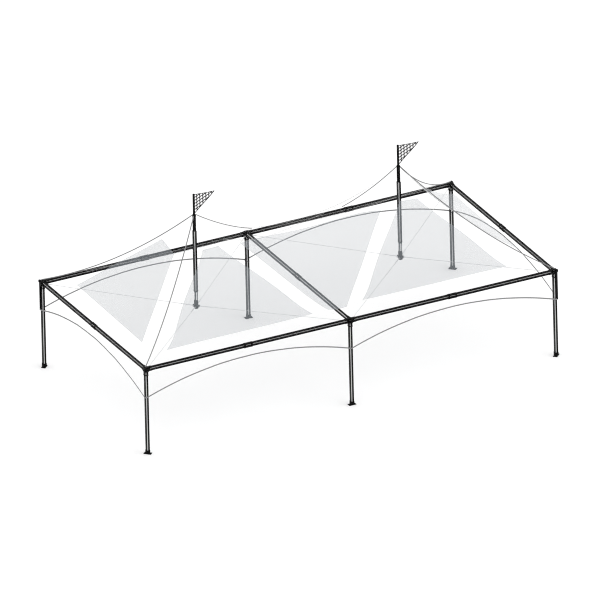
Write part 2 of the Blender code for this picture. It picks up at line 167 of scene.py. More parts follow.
# %% [markdown]
# ## Working by hand, in code
#
# Blender's operators act on whatever is selected, and loading the frame leaves
# its parts selected. So each piece starts by deselecting everything. A face is
# then chosen by its place or by the way it points, as the eye would choose it.
# A finished piece has its place in its mesh and its object at the origin.

# %% Helpers to start a piece
def drop_selection():
    """Leave edit mode and select nothing."""
    if bpy.context.object and bpy.context.object.mode != "OBJECT":
        bpy.ops.object.mode_set(mode="OBJECT")
    bpy.ops.object.select_all(action="DESELECT")


def pick(*pieces):
    """Select only these pieces, and make the first one active."""
    drop_selection()
    for piece in pieces:
        piece.select_set(True)
    bpy.context.view_layer.objects.active = pieces[0]


def settle(piece, name):
    """Name a piece and put its place, turn and size into its mesh."""
    piece.name = name
    piece.data.name = name
    pick(piece)
    bpy.ops.object.transform_apply(location=True, rotation=True, scale=True)
    return piece


def start_block(name, low, high):
    """Start a piece from a cube between two corners."""
    drop_selection()
    low, high = Vector(low), Vector(high)
    bpy.ops.mesh.primitive_cube_add(size=1, location=(low + high) / 2, scale=high - low)
    return settle(bpy.context.object, name)


def start_round(name, radius, low, high, sides):
    """Start a piece from an upright cylinder."""
    drop_selection()
    bpy.ops.mesh.primitive_cylinder_add(
        vertices=sides, radius=radius, depth=high - low, location=(0, 0, (low + high) / 2))
    return settle(bpy.context.object, name)


def build(name, points, faces):
    """Make a piece from points and faces."""
    mesh = bpy.data.meshes.new(name)
    mesh.from_pydata([tuple(point) for point in points], [], faces)
    return add_object(name, mesh)


def copy_piece(source, name, place=Matrix()):
    """Copy a piece with its own mesh, moved, turned or mirrored by a matrix."""
    mesh = source.data.copy()
    mesh.name = name
    mesh.transform(place)
    if place.determinant() < 0:
        mesh.flip_normals()
    return add_object(name, mesh)


def placement(start, first, second, third):
    """A placement that turns X, Y and Z to three directions and moves to a start."""
    return Matrix.Translation(start) @ Matrix((first, second, third)).transposed().to_4x4()


def join_pieces(name, pieces):
    """Join several pieces into one."""
    pick(*pieces)
    bpy.ops.object.join()
    return settle(pieces[0], name)


def discard(*pieces):
    """Remove patterns that were only there to be copied."""
    for piece in pieces:
        bpy.data.objects.remove(piece, do_unlink=True)


print("Pieces can be started, copied and joined")


# %% Helpers to shape and finish a piece
def choose(piece, wanted, kind="FACE"):
    """Go to edit mode with only the wanted faces or edges selected."""
    bpy.context.view_layer.objects.active = piece
    bpy.ops.object.mode_set(mode="EDIT")
    bpy.ops.mesh.select_mode(type=kind)
    bpy.ops.mesh.select_all(action="DESELECT")
    bpy.ops.object.mode_set(mode="OBJECT")
    for part in piece.data.polygons if kind == "FACE" else piece.data.edges:
        part.select = wanted(part)
    bpy.ops.object.mode_set(mode="EDIT")


def looks_up(face):
    """Tell whether a face looks up."""
    return face.normal.z > 0.9


def looks_down(face):
    """Tell whether a face looks down."""
    return face.normal.z < -0.9


def step_faces(piece, wanted, *steps):
    """Inset the wanted faces and move them, step by step; a step without an inset extrudes."""
    choose(piece, wanted)
    for inset, move in steps:
        if inset:
            bpy.ops.mesh.inset(thickness=inset)
            bpy.ops.transform.translate(value=tuple(move))
        else:
            bpy.ops.mesh.extrude_region_move(TRANSFORM_OT_translate={"value": tuple(move)})
    drop_selection()


def bevel_along(piece, axis, width, segments, where=lambda point: True):
    """Bevel the edges along an axis, 0 to 2 for X to Z, whose first point is wanted."""
    def wanted(edge):
        first, second = [piece.data.vertices[index].co for index in edge.vertices]
        return abs((first - second).normalized()[axis]) > 0.9 and where(first)

    choose(piece, wanted, "EDGE")
    bpy.ops.mesh.bevel(offset=width, segments=segments)
    drop_selection()


def modify(piece, kind, **settings):
    """Add a modifier with its settings and apply it."""
    modifier = piece.modifiers.new(kind.lower(), kind)
    for key, value in settings.items():
        setattr(modifier, key, value)
    pick(piece)
    bpy.ops.object.modifier_apply(modifier=modifier.name)


def soft_edges(piece, width, segments=2, slot=-1):
    """Round the sharp edges, as casting, sawing and sanding do."""
    modify(piece, "BEVEL", width=width, segments=segments, limit_method="ANGLE",
           angle_limit=math.radians(35), material=slot)


def open_tube(piece, wall, corner=0, segments=1):
    """Make an upright solid a tube: open its ends, round its corners, thicken its wall inward."""
    choose(piece, lambda face: abs(face.normal.z) > 0.9)
    bpy.ops.mesh.delete(type="FACE")
    drop_selection()
    if corner:
        bevel_along(piece, 2, corner, segments)
    modify(piece, "SOLIDIFY", thickness=wall, offset=-1)


def smooth_over(piece, degrees=35):
    """Shade a piece smooth, but keep edges sharper than an angle."""
    pick(piece)
    bpy.ops.object.shade_smooth_by_angle(angle=math.radians(degrees))


def lay_map(piece, place_of):
    """Give a piece a UV map; place_of turns a point's number and place into its UV pair."""
    mesh = piece.data
    layer = mesh.uv_layers[0] if mesh.uv_layers else mesh.uv_layers.new(name="tape")
    for loop in mesh.loops:
        index = loop.vertex_index
        layer.data[loop.index].uv = place_of(index, mesh.vertices[index].co)
    return layer


def area_of(piece):
    """The area of all faces of a piece."""
    return sum(face.area for face in piece.data.polygons)


def dress(piece, material, slot):
    """Give a piece its material and its body; slot is not used."""
    piece.data.materials.clear()
    piece.data.materials.append(material)
    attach(piece, "root")
    return piece


def join_and_dress(name, pieces, material, slot, degrees=35):
    """Join pieces into one, shade it smooth and dress it."""
    piece = join_pieces(name, pieces)
    smooth_over(piece, degrees)
    return dress(piece, material, slot)


print("Pieces can be shaped and finished")

# %% [markdown]
# ## Finishes
#
# Effects that several finishes share are shader node groups, made once. The
# grain of a casting, the ribs of webbing and a film of dust are all values
# between 0 and 1, which a material then turns into colour, roughness or height.

# %% Helpers for nodes
def feed(tree, value, socket):
    """Set a socket to a number, or link it to another socket."""
    if isinstance(value, (int, float)):
        socket.default_value = value
    else:
        tree.links.new(value, socket)


def calculate(tree, operation, *values):
    """Add a Math node; a value is a number or a socket."""
    node = tree.nodes.new("ShaderNodeMath")
    node.operation = operation
    for index, value in enumerate(values):
        feed(tree, value, node.inputs[index])
    return node.outputs[0]


def weigh(tree, first, share, second, rest):
    """Add two values by weight."""
    return calculate(tree, "MULTIPLY_ADD", first, share, calculate(tree, "MULTIPLY", second, rest))


def between(tree, value, low, high):
    """Map a range to 0 to 1, with its ends held."""
    node = tree.nodes.new("ShaderNodeMapRange")
    tree.links.new(value, node.inputs["Value"])
    node.inputs["From Min"].default_value = low
    node.inputs["From Max"].default_value = high
    return node.outputs["Result"]


def split(tree, place):
    """Split a place into its three numbers."""
    parts = tree.nodes.new("ShaderNodeSeparateXYZ")
    tree.links.new(place, parts.inputs[0])
    return parts.outputs


def noise(tree, place, size, detail=3.0, rough=0.5, stretch=None):
    """Add a noise of a given size in metres, stretched along some axes."""
    spot = place
    if stretch:
        mapping = tree.nodes.new("ShaderNodeMapping")
        mapping.inputs["Scale"].default_value = stretch
        tree.links.new(place, mapping.inputs["Vector"])
        spot = mapping.outputs["Vector"]
    node = tree.nodes.new("ShaderNodeTexNoise")
    tree.links.new(spot, node.inputs["Vector"])
    node.inputs["Scale"].default_value = 1 / size
    node.inputs["Detail"].default_value = detail
    node.inputs["Roughness"].default_value = rough
    return node.outputs["Fac"]


def start_group(name, place_name, value_name):
    """Start a node group that turns a place into a value; return it with both sockets."""
    group = bpy.data.node_groups.new(name, "ShaderNodeTree")
    group.interface.new_socket(name=place_name, in_out="INPUT", socket_type="NodeSocketVector")
    group.interface.new_socket(name=value_name, in_out="OUTPUT", socket_type="NodeSocketFloat")
    entry, leaving = group.nodes.new("NodeGroupInput"), group.nodes.new("NodeGroupOutput")
    return group, entry.outputs[place_name], leaving.inputs[value_name]


print("The node helpers are ready")

# %% Shared effects
RIB_LENGTH = 0.0024
RIB_WIDTH = 0.0035
dust_group, place, leaving = start_group("settled_dust", "Place", "Dust")
clouds = noise(dust_group, place, 0.35, 5.0, 0.6)
specks = noise(dust_group, place, 0.012, 2.0, 0.7)
clouds = between(dust_group, clouds, 0.42, 0.72)
specks = between(dust_group, specks, 0.48, 0.68)
specks = calculate(dust_group, "MULTIPLY_ADD", specks, 0.6, 0.4)
dust_group.links.new(calculate(dust_group, "MULTIPLY", clouds, specks), leaving)

grain_group, place, leaving = start_group("casting_grain", "Place", "Grain")
fine = noise(grain_group, place, 0.0022, 3.0, 0.6)
broad = noise(grain_group, place, 0.018, 3.0, 0.5)
grain_group.links.new(weigh(grain_group, fine, 0.7, broad, 0.3), leaving)

ribs_group, place, leaving = start_group("webbing_ribs", "Cloth", "Ribs")
waves = []
for part, rib in zip(split(ribs_group, place), (RIB_LENGTH, RIB_WIDTH)):
    turns = calculate(ribs_group, "MULTIPLY", part, 2 * math.pi / rib)
    waves.append(calculate(ribs_group, "SINE", turns))
woven = calculate(ribs_group, "MULTIPLY", *waves)
ribs_group.links.new(calculate(ribs_group, "MULTIPLY_ADD", woven, 0.5, 0.5), leaving)
print("Shared effects:", [group.name for group in (dust_group, grain_group, ribs_group)])


# %% Helpers for a finish with one shader
def start_finish(name):
    """Start a material and return it with its nodes, its shader and its coordinates."""
    material = bpy.data.materials.new(name)
    material.use_nodes = True
    tree = material.node_tree
    place = tree.nodes.new("ShaderNodeTexCoord")
    return material, tree, tree.nodes["Principled BSDF"], place.outputs


def use_group(tree, group, place):
    """Use a shared effect and return its value."""
    node = tree.nodes.new("ShaderNodeGroup")
    node.node_tree = group
    tree.links.new(place, node.inputs[0])
    return node.outputs[0]


def blend_colours(tree, share, first, second):
    """Mix two colours by a share; a colour is three numbers or a socket."""
    mix = tree.nodes.new("ShaderNodeMix")
    mix.data_type = "RGBA"
    tree.links.new(share, mix.inputs["Factor"])
    for index, colour in ((6, first), (7, second)):
        if isinstance(colour, tuple):
            mix.inputs[index].default_value = (*colour, 1)
        else:
            tree.links.new(colour, mix.inputs[index])
    return mix.outputs[2]


def set_look(tree, shader, colour, rough, gloss):
    """Send a colour and a roughness to the shader, and set how glossy it is."""
    tree.links.new(colour, shader.inputs["Base Color"])
    feed(tree, rough, shader.inputs["Roughness"])
    shader.inputs["Specular IOR Level"].default_value = gloss


def raise_bumps(tree, shader, height, distance, strength=1.0):
    """Send a height to the shader's normal through a bump."""
    bump = tree.nodes.new("ShaderNodeBump")
    bump.inputs["Distance"].default_value = distance
    bump.inputs["Strength"].default_value = strength
    tree.links.new(height, bump.inputs["Height"])
    tree.links.new(bump.outputs["Normal"], shader.inputs["Normal"])


print("The finish helpers are ready")

# %% [markdown]
# Black anodised aluminium is a metal seen through a thin dark oxide. The die
# that it was pushed through leaves fine lines along its length, and the oxide
# is a touch browner or bluer in patches. The lines run along the piece, so an
# upright, a beam along the tent and a beam across it each get their own turn
# of the same finish.

# %% Black anodised extrusion
ANODISED_DARK = (0.0020, 0.0020, 0.0023)
ANODISED_LIGHT = (0.0060, 0.0060, 0.0063)
DUST_COLOUR = (0.12, 0.115, 0.105)
LINE_STRETCH = 0.01


def anodised_finish(name, stretch):
    """Black anodising with die lines along one axis."""
    material, tree, shader, place = start_finish(name)
    spot = place["Object"]
    lines = noise(tree, spot, 0.004, 2.0, 0.6, stretch)
    patches = noise(tree, spot, 0.6)
    dust = use_group(tree, dust_group, spot)
    tint = weigh(tree, lines, 0.5, patches, 0.5)
    clean = blend_colours(tree, tint, ANODISED_DARK, ANODISED_LIGHT)
    dusty = blend_colours(tree, calculate(tree, "MULTIPLY", dust, 0.03), clean, DUST_COLOUR)
    rough = calculate(tree, "MULTIPLY_ADD", lines, 0.16, 0.40)
    set_look(tree, shader, dusty, calculate(tree, "MULTIPLY_ADD", dust, 0.2, rough), 0.04)
    raise_bumps(tree, shader, lines, 0.00015)
    return material


anodised = {
    "upright": anodised_finish("black_anodised_upright", (1, 1, LINE_STRETCH)),
    "along": anodised_finish("black_anodised_along", (LINE_STRETCH, 1, 1)),
    "across": anodised_finish("black_anodised_across", (1, LINE_STRETCH, 1)),
}
print("Anodised finishes:", sorted(anodised))

# %% [markdown]
# The head fittings, splices, base plates and mast feet are cast or welded and
# powder coated. Powder coat has a fine orange-peel grain. Where the edges have
# been knocked in transport the coat is rubbed thin and shines a little, so the
# rounded edges get a second, lighter material.

# %% Powder-coated casting and its rubbed edges
def cast_finish(name, dark, light, rough, height):
    """Powder coat with grain, dust and a colour range."""
    material, tree, shader, place = start_finish(name)
    grain = use_group(tree, grain_group, place["Object"])
    dust = use_group(tree, dust_group, place["Object"])
    tint = between(tree, calculate(tree, "MULTIPLY_ADD", dust, 0.5, grain), 0.3, 1.0)
    rough = calculate(tree, "MULTIPLY_ADD", grain, 0.2, rough)
    set_look(tree, shader, blend_colours(tree, tint, dark, light), rough, 0.04)
    raise_bumps(tree, shader, grain, height)
    return material


powder_coat = cast_finish(
    "black_powder_coat", (0.0020, 0.0020, 0.0022), (0.0060, 0.0060, 0.0058), 0.45, 0.0004)
rubbed_edge = cast_finish(
    "rubbed_powder_coat_edge", (0.008, 0.008, 0.009), (0.026, 0.025, 0.024), 0.32, 0.0002)
print("Powder coat and its rubbed edge")

# %% [markdown]
# The tracks in the extrusions are closed by black plastic strips. Beads of the
# same plastic lie on the faces beside them. Their light grey on the fronts and
# backs of the legs and masts and on the cross beam, and their darker grey on the
# other beams, where they grip the canopy's edge, is a painted highlight line
# along each extrusion. All of it is satin, a little dirty, and a shade uneven
# along its length.

# %% Plastic strips
def strip_finish(name, light, dark):
    """Satin plastic between two shades."""
    material, tree, shader, place = start_finish(name)
    spot = place["Object"]
    shade = noise(tree, spot, 0.25, 4.0, 0.6)
    dust = use_group(tree, dust_group, spot)
    colour = blend_colours(tree, weigh(tree, dust, 0.4, shade, 0.6),
                           (light, light, light * 1.01), (dark, dark, dark * 0.99))
    set_look(tree, shader, colour, calculate(tree, "MULTIPLY_ADD", dust, 0.25, 0.42), 0.2)
    raise_bumps(tree, shader, noise(tree, spot, 0.003, 2.0), 0.0001)
    return material


# The light and grey beads are a painted highlight line; the black strips are the plastic's own colour.
light_highlight_bead = strip_finish("light_grey_bead_painted_highlight", 0.57, 0.45)
grey_highlight_bead = strip_finish("grey_edge_bead_painted_highlight", 0.36, 0.27)
black_strip = strip_finish("black_track_strip", 0.005, 0.011)
print("Three strip plastics are ready")


# %% Galvanised steel and bright jack screw
def steel_finish(name, dark, light, rough, spangle_size):
    """Zinc on steel, with soft crystals in its colour and gloss."""
    material, tree, shader, place = start_finish(name)
    crystals = tree.nodes.new("ShaderNodeTexVoronoi")
    crystals.inputs["Scale"].default_value = 1 / spangle_size
    tree.links.new(place["Object"], crystals.inputs["Vector"])
    tone = tree.nodes.new("ShaderNodeSeparateColor")
    tree.links.new(crystals.outputs["Color"], tone.inputs[0])
    rough = calculate(tree, "MULTIPLY_ADD", tone.outputs[1], 0.18, rough)
    set_look(tree, shader, blend_colours(tree, tone.outputs[0], dark, light), rough, 0.5)
    shader.inputs["Metallic"].default_value = 1.0
    return material


galvanised = steel_finish("galvanised_wire_rope", (0.60, 0.61, 0.62), (0.74, 0.75, 0.76), 0.32, 0.006)
bright_zinc = steel_finish("bright_zinc_screw", (0.72, 0.73, 0.74), (0.86, 0.87, 0.88), 0.25, 0.004)
print("Steel finishes are ready")

# %% [markdown]
# Webbing is woven in fine ribs. A grey one tapes the seams and the valance's
# hem, a dark one makes the straps and the pennants' hems, and a black one the
# corner strips and the pennants' sleeves. The ribs follow the tape, so they
# read its own UV map, which is in metres along and across it.

# %% Webbing
def webbing_finish(name, dark, light):
    """Woven tape with ribs, slightly faded in places."""
    material, tree, shader, place = start_finish(name)
    ribs = use_group(tree, ribs_group, place["UV"])
    fade = noise(tree, place["Object"], 0.3)
    set_look(tree, shader, blend_colours(tree, weigh(tree, ribs, 0.6, fade, 0.4), dark, light), 0.82, 0.12)
    raise_bumps(tree, shader, ribs, 0.0005)
    return material


grey_webbing = webbing_finish("grey_seam_webbing", (0.17, 0.17, 0.173), (0.26, 0.26, 0.264))
dark_webbing = webbing_finish("dark_corner_webbing", (0.020, 0.020, 0.022), (0.050, 0.050, 0.052))
black_webbing = webbing_finish("black_hoist_webbing", (0.003, 0.003, 0.0033), (0.010, 0.010, 0.010))
print("Three webbings are ready")

# %% [markdown]
# The canopy is clear film. Seen straight on it hides almost nothing, and seen
# edge on it turns dark, because the eye then looks through far more of it. A
# Layer Weight node gives that. The light grey panels are part of the same
# film: a mask on the film's own UV map raises how much they hide, and a narrow
# weld line runs round each one. Broad slack and fine creases go into the bump.

# %% Clear film with grey panels
FILM_HIDES = 0.001
PANEL_HIDES = 0.205
EDGE_ON_HIDES = 0.55
WELD_HIDES = 0.05
CLEAR_COLOUR = (0.80, 0.81, 0.82)
EDGE_ON_COLOUR = (0.03, 0.03, 0.032)
PANEL_COLOUR = (0.325, 0.348, 0.372)


def film_finish(name, with_panels):
    """Clear film, with or without the panels that its UV map lays out."""
    material, tree, shader, place = start_finish(name)
    spot = place["Object"]
    slack = noise(tree, spot, 1.1)
    creases = noise(tree, spot, 0.16, 4.0, 0.6, (1, 1, 0.35))
    dust = use_group(tree, dust_group, spot)
    facing = tree.nodes.new("ShaderNodeLayerWeight")
    facing.inputs["Blend"].default_value = 0.5
    edge_on = calculate(tree, "POWER", facing.outputs["Facing"], 24.0)
    hides = calculate(tree, "MULTIPLY_ADD", edge_on, EDGE_ON_HIDES, FILM_HIDES)
    hides = calculate(tree, "MULTIPLY_ADD", dust, 0.002, hides)
    colour = blend_colours(tree, between(tree, edge_on, 0.0, 0.03), CLEAR_COLOUR, EDGE_ON_COLOUR)
    if with_panels:
        off_middle = [
            calculate(tree, "ABSOLUTE", calculate(tree, "SUBTRACT", part, 0.5))
            for part in split(tree, place["UV"])[:2]]
        border = calculate(tree, "MAXIMUM", *off_middle)
        panel = between(tree, border, 0.502, 0.4985)
        weld = calculate(tree, "MULTIPLY", panel, between(tree, border, 0.490, 0.494))
        hides = calculate(tree, "MULTIPLY_ADD", panel, PANEL_HIDES - FILM_HIDES, hides)
        hides = calculate(tree, "MULTIPLY_ADD", weld, WELD_HIDES, hides)
        colour = blend_colours(tree, panel, colour, PANEL_COLOUR)
    tree.links.new(hides, shader.inputs["Alpha"])
    set_look(tree, shader, colour, calculate(tree, "MULTIPLY_ADD", creases, 0.15, 0.10), 0.06)
    shader.inputs["IOR"].default_value = 1.5
    raise_bumps(tree, shader, calculate(tree, "MULTIPLY_ADD", creases, 0.12, slack), 0.05, 0.5)
    return material


canopy_film = film_finish("clear_film_with_panels", True)
valance_film = film_finish("clear_film_plain", False)
print("The film hides", FILM_HIDES, "and a panel", PANEL_HIDES, "of what lies behind one face")

# %% [markdown]
# The pennants are open lattice cloth: dark tapes with holes between them. The
# darker tapes climb away from the pole, and slightly broader, lighter ones
# stand upright behind them. The lattice is a mask on the cloth's own UV map,
# which is in metres from the pole and from the ground.

# %% Pennant lattice
HOLE_PLACE = (0.138, 5.565)
SOFTNESS = 0.012


def tape_mask(tree, place, degrees, pitch, width):
    """A mask of parallel tapes at an angle, 1 on a tape and 0 between."""
    sine, cosine = math.sin(math.radians(degrees)), math.cos(math.radians(degrees))
    parts = split(tree, place)
    phase = (sine * HOLE_PLACE[0] - cosine * HOLE_PLACE[1]) / pitch
    turns = calculate(tree, "MULTIPLY_ADD", parts[0], -sine / pitch, phase)
    turns = calculate(tree, "MULTIPLY_ADD", parts[1], cosine / pitch, turns)
    middle = calculate(tree, "SUBTRACT", calculate(tree, "FRACT", turns), 0.5)
    half = width / pitch / 2
    return between(tree, calculate(tree, "ABSOLUTE", middle), half + SOFTNESS, half - SOFTNESS)


pennant_lattice, tree, shader, place = start_finish("pennant_lattice")
rising = tape_mask(tree, place["UV"], 24.2, 0.081, 0.027)
upright = tape_mask(tree, place["UV"], 90.0, 0.0891, 0.031)
ribs = use_group(tree, ribs_group, place["UV"])
tree.links.new(calculate(tree, "MAXIMUM", rising, upright), shader.inputs["Alpha"])
tint = weigh(tree, ribs, 0.4, rising, 0.6)
set_look(tree, shader, blend_colours(tree, tint, (0.045, 0.045, 0.046), (0.030, 0.030, 0.031)), 0.8, 0.12)
raise_bumps(tree, shader, calculate(tree, "MULTIPLY_ADD", ribs, 0.3, rising), 0.0008)
print("The lattice has its tapes 81 and 89 mm apart")

# %% [markdown]
# ## The frame's own parts
#
# The extrusions keep their solids, whose shape is right, and get the anodised
# finish that runs their way. The mast heads and poles are drawn tubes.

# %% Finishes for the extrusions and mast heads
def repaint(node, material):
    """Give a solid its finish."""
    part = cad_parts[node]
    if not part.material_slots:
        part.data.materials.append(None)
    for holder in part.material_slots:
        holder.material = material


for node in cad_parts:
    if node.endswith(("_leg", "_mast", "_mast_head")):
        repaint(node, anodised["upright"])
    elif node in BEAM_ENDS:
        repaint(node, anodised["across" if "end" in node or node == "cross_beam" else "along"])
print("Extrusions painted")

# %% [markdown]
# A casting has no knife-sharp edge. The fittings, splices, base plates and
# mast feet are copied from their solids, their loose triangles are merged, the
# flat faces are dissolved to one face each, and every edge is rounded by a
# bevel that also paints the rounded edge with the rubbed finish.

# %% Castings with rounded, rubbed edges
CASTING_EDGES = {"_head_fitting": 0.0018, "_base_plate": 0.0016, "_mast_foot": 0.0016, "_splice": 0.0012}


def rounded_casting(node, width):
    """Make a copy of a solid with rounded edges, in place of it."""
    piece = copy_piece(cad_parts[node], node + "_casting")
    piece.data.materials.clear()
    piece.data.materials.append(powder_coat)
    piece.data.materials.append(rubbed_edge)
    for face in piece.data.polygons:
        face.material_index = 0
    choose(piece, lambda face: True)
    bpy.ops.mesh.remove_doubles(threshold=0.00005)
    bpy.ops.mesh.dissolve_limited(angle_limit=math.radians(1))
    drop_selection()
    soft_edges(piece, width, 2, 1)
    smooth_over(piece)
    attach(piece, "root")
    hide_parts(node)


for node in sorted(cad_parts):
    for ending, width in CASTING_EDGES.items():
        if node.endswith(ending):
            rounded_casting(node, width)
print("Castings rounded")

# %% [markdown]
# ## Track strips, beads and clamp rings
#
# Each extrusion has a shallow track in its sides, and a black strip closes it.
# Beads run along the faces beside the tracks, and their grey is a painted
# highlight line along each extrusion. Where a sleeve covers a bead, a short
# length of it lies on the sleeve instead, so the painted highlight line runs
# all along the frame. A strip is a thin bar with its long edges eased and a
# narrow groove down its middle. It is modelled once, a metre long, and each
# copy is stretched to its run. A bead is the same strip, made narrower.

# %% One strip, a metre long
strip_pattern = start_block("strip_pattern", (-0.0135, 0, 0), (0.0135, 0.0036, 1))
bevel_along(strip_pattern, 2, 0.0010, 2, lambda point: point.y > 0.003)
step_faces(strip_pattern, lambda face: face.normal.y > 0.99, (0.0090, (0, -0.0008, 0)))
print("The strip pattern has", len(strip_pattern.data.polygons), "faces")


# %% Helpers for strips
def strips_on(name, runs, material):
    """Join strips into a piece; a run has a start, a direction, a length, a side and a width."""
    strips = []
    for start, along, length, outward, width in runs:
        place = placement(start, outward.cross(along) * width, outward, along * length)
        strips.append(copy_piece(strip_pattern, name, place))
    join_and_dress(name, strips, material, "black_anodised_aluminium", 30)


TRACK_DEPTH = 0.0044
FACE_GAP = 0.0001
# The light beads are a painted highlight line: how far they sit beside the track and how wide they are.
HIGHLIGHT_BEAD_SHIFT = 0.022
UPRIGHT_HIGHLIGHT_BEAD = 0.70
UPRIGHT_SINK = 0.0030
SIDES = [Vector((1, 0, 0)), Vector((0, 1, 0)), Vector((-1, 0, 0)), Vector((0, -1, 0))]


def upright_strips(name, foot, side, length, sleeve=None):
    """Strips in an upright's four tracks, and light beads beside them on its front and back as a painted
    highlight line.
    """
    highlight_beads, dark = [], []
    for outward in SIDES:
        dark.append((foot + outward * (side / 2 - TRACK_DEPTH), UP, length, outward, 1.0))
        aside = Vector((outward.y * HIGHLIGHT_BEAD_SHIFT, 0, 0))
        if outward.y:
            face = foot + outward * (side / 2 + FACE_GAP) + aside
            highlight_beads.append((face, UP, length, outward, UPRIGHT_HIGHLIGHT_BEAD))
        if sleeve:
            low, sleeve_length = sleeve
            face = foot + outward * (side / 2 + SLEEVE_WALL - UPRIGHT_SINK) + aside + UP * low
            width = UPRIGHT_HIGHLIGHT_BEAD if outward.y else 1.0
            (highlight_beads if outward.y else dark).append((face, UP, sleeve_length, outward, width))
    strips_on(name + "_beads", highlight_beads, light_highlight_bead)
    strips_on(name + "_black_strips", dark, black_strip)


print("Strips can be laid")

# %% Strips on every extrusion
LEG_TRACK_LOW = 0.112
LEG_TRACK_HIGH = EAVE - 0.167
LEG_SLEEVE = (EAVE - 0.148 - LEG_TRACK_LOW, 0.076)
MAST_TRACK_LOW = MAST_BOTTOM + 0.032
MAST_TRACK_LENGTH = HEAD_BOTTOM - MAST_BOTTOM - 0.034
HEAD_REACH = 0.172
SPLICE_REACH = 0.102
BEAM_SINK = 0.0020
RISE_ALONG = 0.017
RISE_ACROSS = 0.034
# How wide each beam's bead is sets how strong its painted highlight line looks; short beads on the sleeves
# carry the line on.
HIGHLIGHT_BEAD_WIDTHS = {"front": 0.42, "back": 0.30, "left": 0.60, "right": 0.60, "cross": 0.95}
SLEEVE_HIGHLIGHT_BEADS = ((0.110, 0.059), (BAY - 0.169, 0.059), (BAY / 2 - 0.078, 0.156))
for leg_name, place in LEG_PLACES.items():
    upright_strips(leg_name + "_leg", place + UP * LEG_TRACK_LOW, LEG_SIDE,
                   LEG_TRACK_HIGH - LEG_TRACK_LOW, LEG_SLEEVE)
for bay, place in MAST_PLACES.items():
    upright_strips(bay + "_mast", place + UP * MAST_TRACK_LOW, MAST_SIDE, MAST_TRACK_LENGTH)
for beam_name, (first, second) in BEAM_ENDS.items():
    start = LEG_PLACES[first] + UP * EAVE
    along = way_between(first, second)
    rise = UP * (RISE_ALONG if along.x else RISE_ACROSS)
    width = HIGHLIGHT_BEAD_WIDTHS[beam_name.split("_")[0]]
    length = BAY / 2 - SPLICE_REACH - HEAD_REACH
    highlight_beads, dark = [], []
    for outward in (along.cross(UP), UP.cross(along)):
        groove = start + outward * (BEAM_WIDTH / 2 - TRACK_DEPTH)
        bead = start + outward * (BEAM_WIDTH / 2 + FACE_GAP) + rise
        sleeve = start + outward * (BEAM_WIDTH / 2 + SLEEVE_WALL - BEAM_SINK) + rise
        for distance in (HEAD_REACH, BAY / 2 + SPLICE_REACH):
            dark.append((groove + along * distance, along, length, outward, 1.0))
            highlight_beads.append((bead + along * distance, along, length, outward, width))
        for distance, sleeve_length in SLEEVE_HIGHLIGHT_BEADS:
            highlight_beads.append((sleeve + along * distance, along, sleeve_length, outward, width))
    # The cross beam gets light beads and the other beams grey ones, both a painted highlight line.
    strips_on(beam_name + "_edge_beads", highlight_beads, light_highlight_bead if beam_name == "cross_beam" else grey_highlight_bead)
    strips_on(beam_name + "_black_strips", dark, black_strip)
discard(strip_pattern)
print("Strips laid on", len(LEG_PLACES) + len(MAST_PLACES) + len(BEAM_ENDS), "extrusions")

# %% [markdown]
# A clamp ring closes each sleeve onto its extrusion: one at each arm of the head
# fittings and one at each end of a splice. It is a short square tube with eased
# corners.

# %% Clamp rings
def clamp_ring(name, half_width, half_height, low, high):
    """A ring round an upright bar."""
    ring = start_block(name, (-half_width, -half_height, low), (half_width, half_height, high))
    open_tube(ring, 0.0030, 0.003, 2)
    soft_edges(ring, 0.0008, 1)
    return ring


def ring_along(pattern, start, along):
    """Copy a ring with its +Z along a beam and its +Y up."""
    return copy_piece(pattern, "ring", placement(start, UP.cross(along), UP, along))


LEG_RING = LEG_SIDE / 2 + 0.0078
BEAM_RING = (BEAM_WIDTH / 2 + 0.0078, BEAM_HEIGHT / 2 + 0.0056)
HEAD_RING_REACH = 0.094
SPLICE_RING_REACH = 0.104
leg_ring = clamp_ring("leg_ring", LEG_RING, LEG_RING, EAVE - 0.178, EAVE - 0.150)
beam_ring = clamp_ring("beam_ring", *BEAM_RING, -0.012, 0.012)
splice_ring = clamp_ring("splice_ring", *BEAM_RING, -0.024, 0.024)
for leg_name, place in LEG_PLACES.items():
    rings = [copy_piece(leg_ring, "ring", Matrix.Translation(place))]
    for along in arms(leg_name):
        rings.append(ring_along(beam_ring, place + UP * EAVE + along * HEAD_RING_REACH, along))
    join_and_dress(leg_name + "_head_rings", rings, powder_coat, "black_cast_fitting")
for beam_name, ends in BEAM_ENDS.items():
    along = way_between(*ends)
    rings = [ring_along(splice_ring, middle_of(*ends) + along * shift, along)
             for shift in (-SPLICE_RING_REACH, SPLICE_RING_REACH)]
    join_and_dress(beam_name.replace("beam", "splice") + "_rings", rings, powder_coat, "black_cast_fitting")
discard(leg_ring, beam_ring, splice_ring)
print("Rings on", len(LEG_PLACES), "head fittings and", len(BEAM_ENDS), "splices")

# %% [markdown]
# ## Canopy
#
# The canopy is one sheet of film, stretched from the eave over two peaks. It
# is worked out as heights over the ground plan. A line from the eave to a peak
# sags like a rope, more along the seam to a middle leg than along a hip, and
# more still in the middle of a slope. Between the peaks the sheet falls to a
# saddle, and a valley runs from there down to each middle leg.
#
# The plan is the same in all four quarters, so one quarter is laid out as three
# grids (a slope, half an end and half a saddle slope), and mirrored twice.

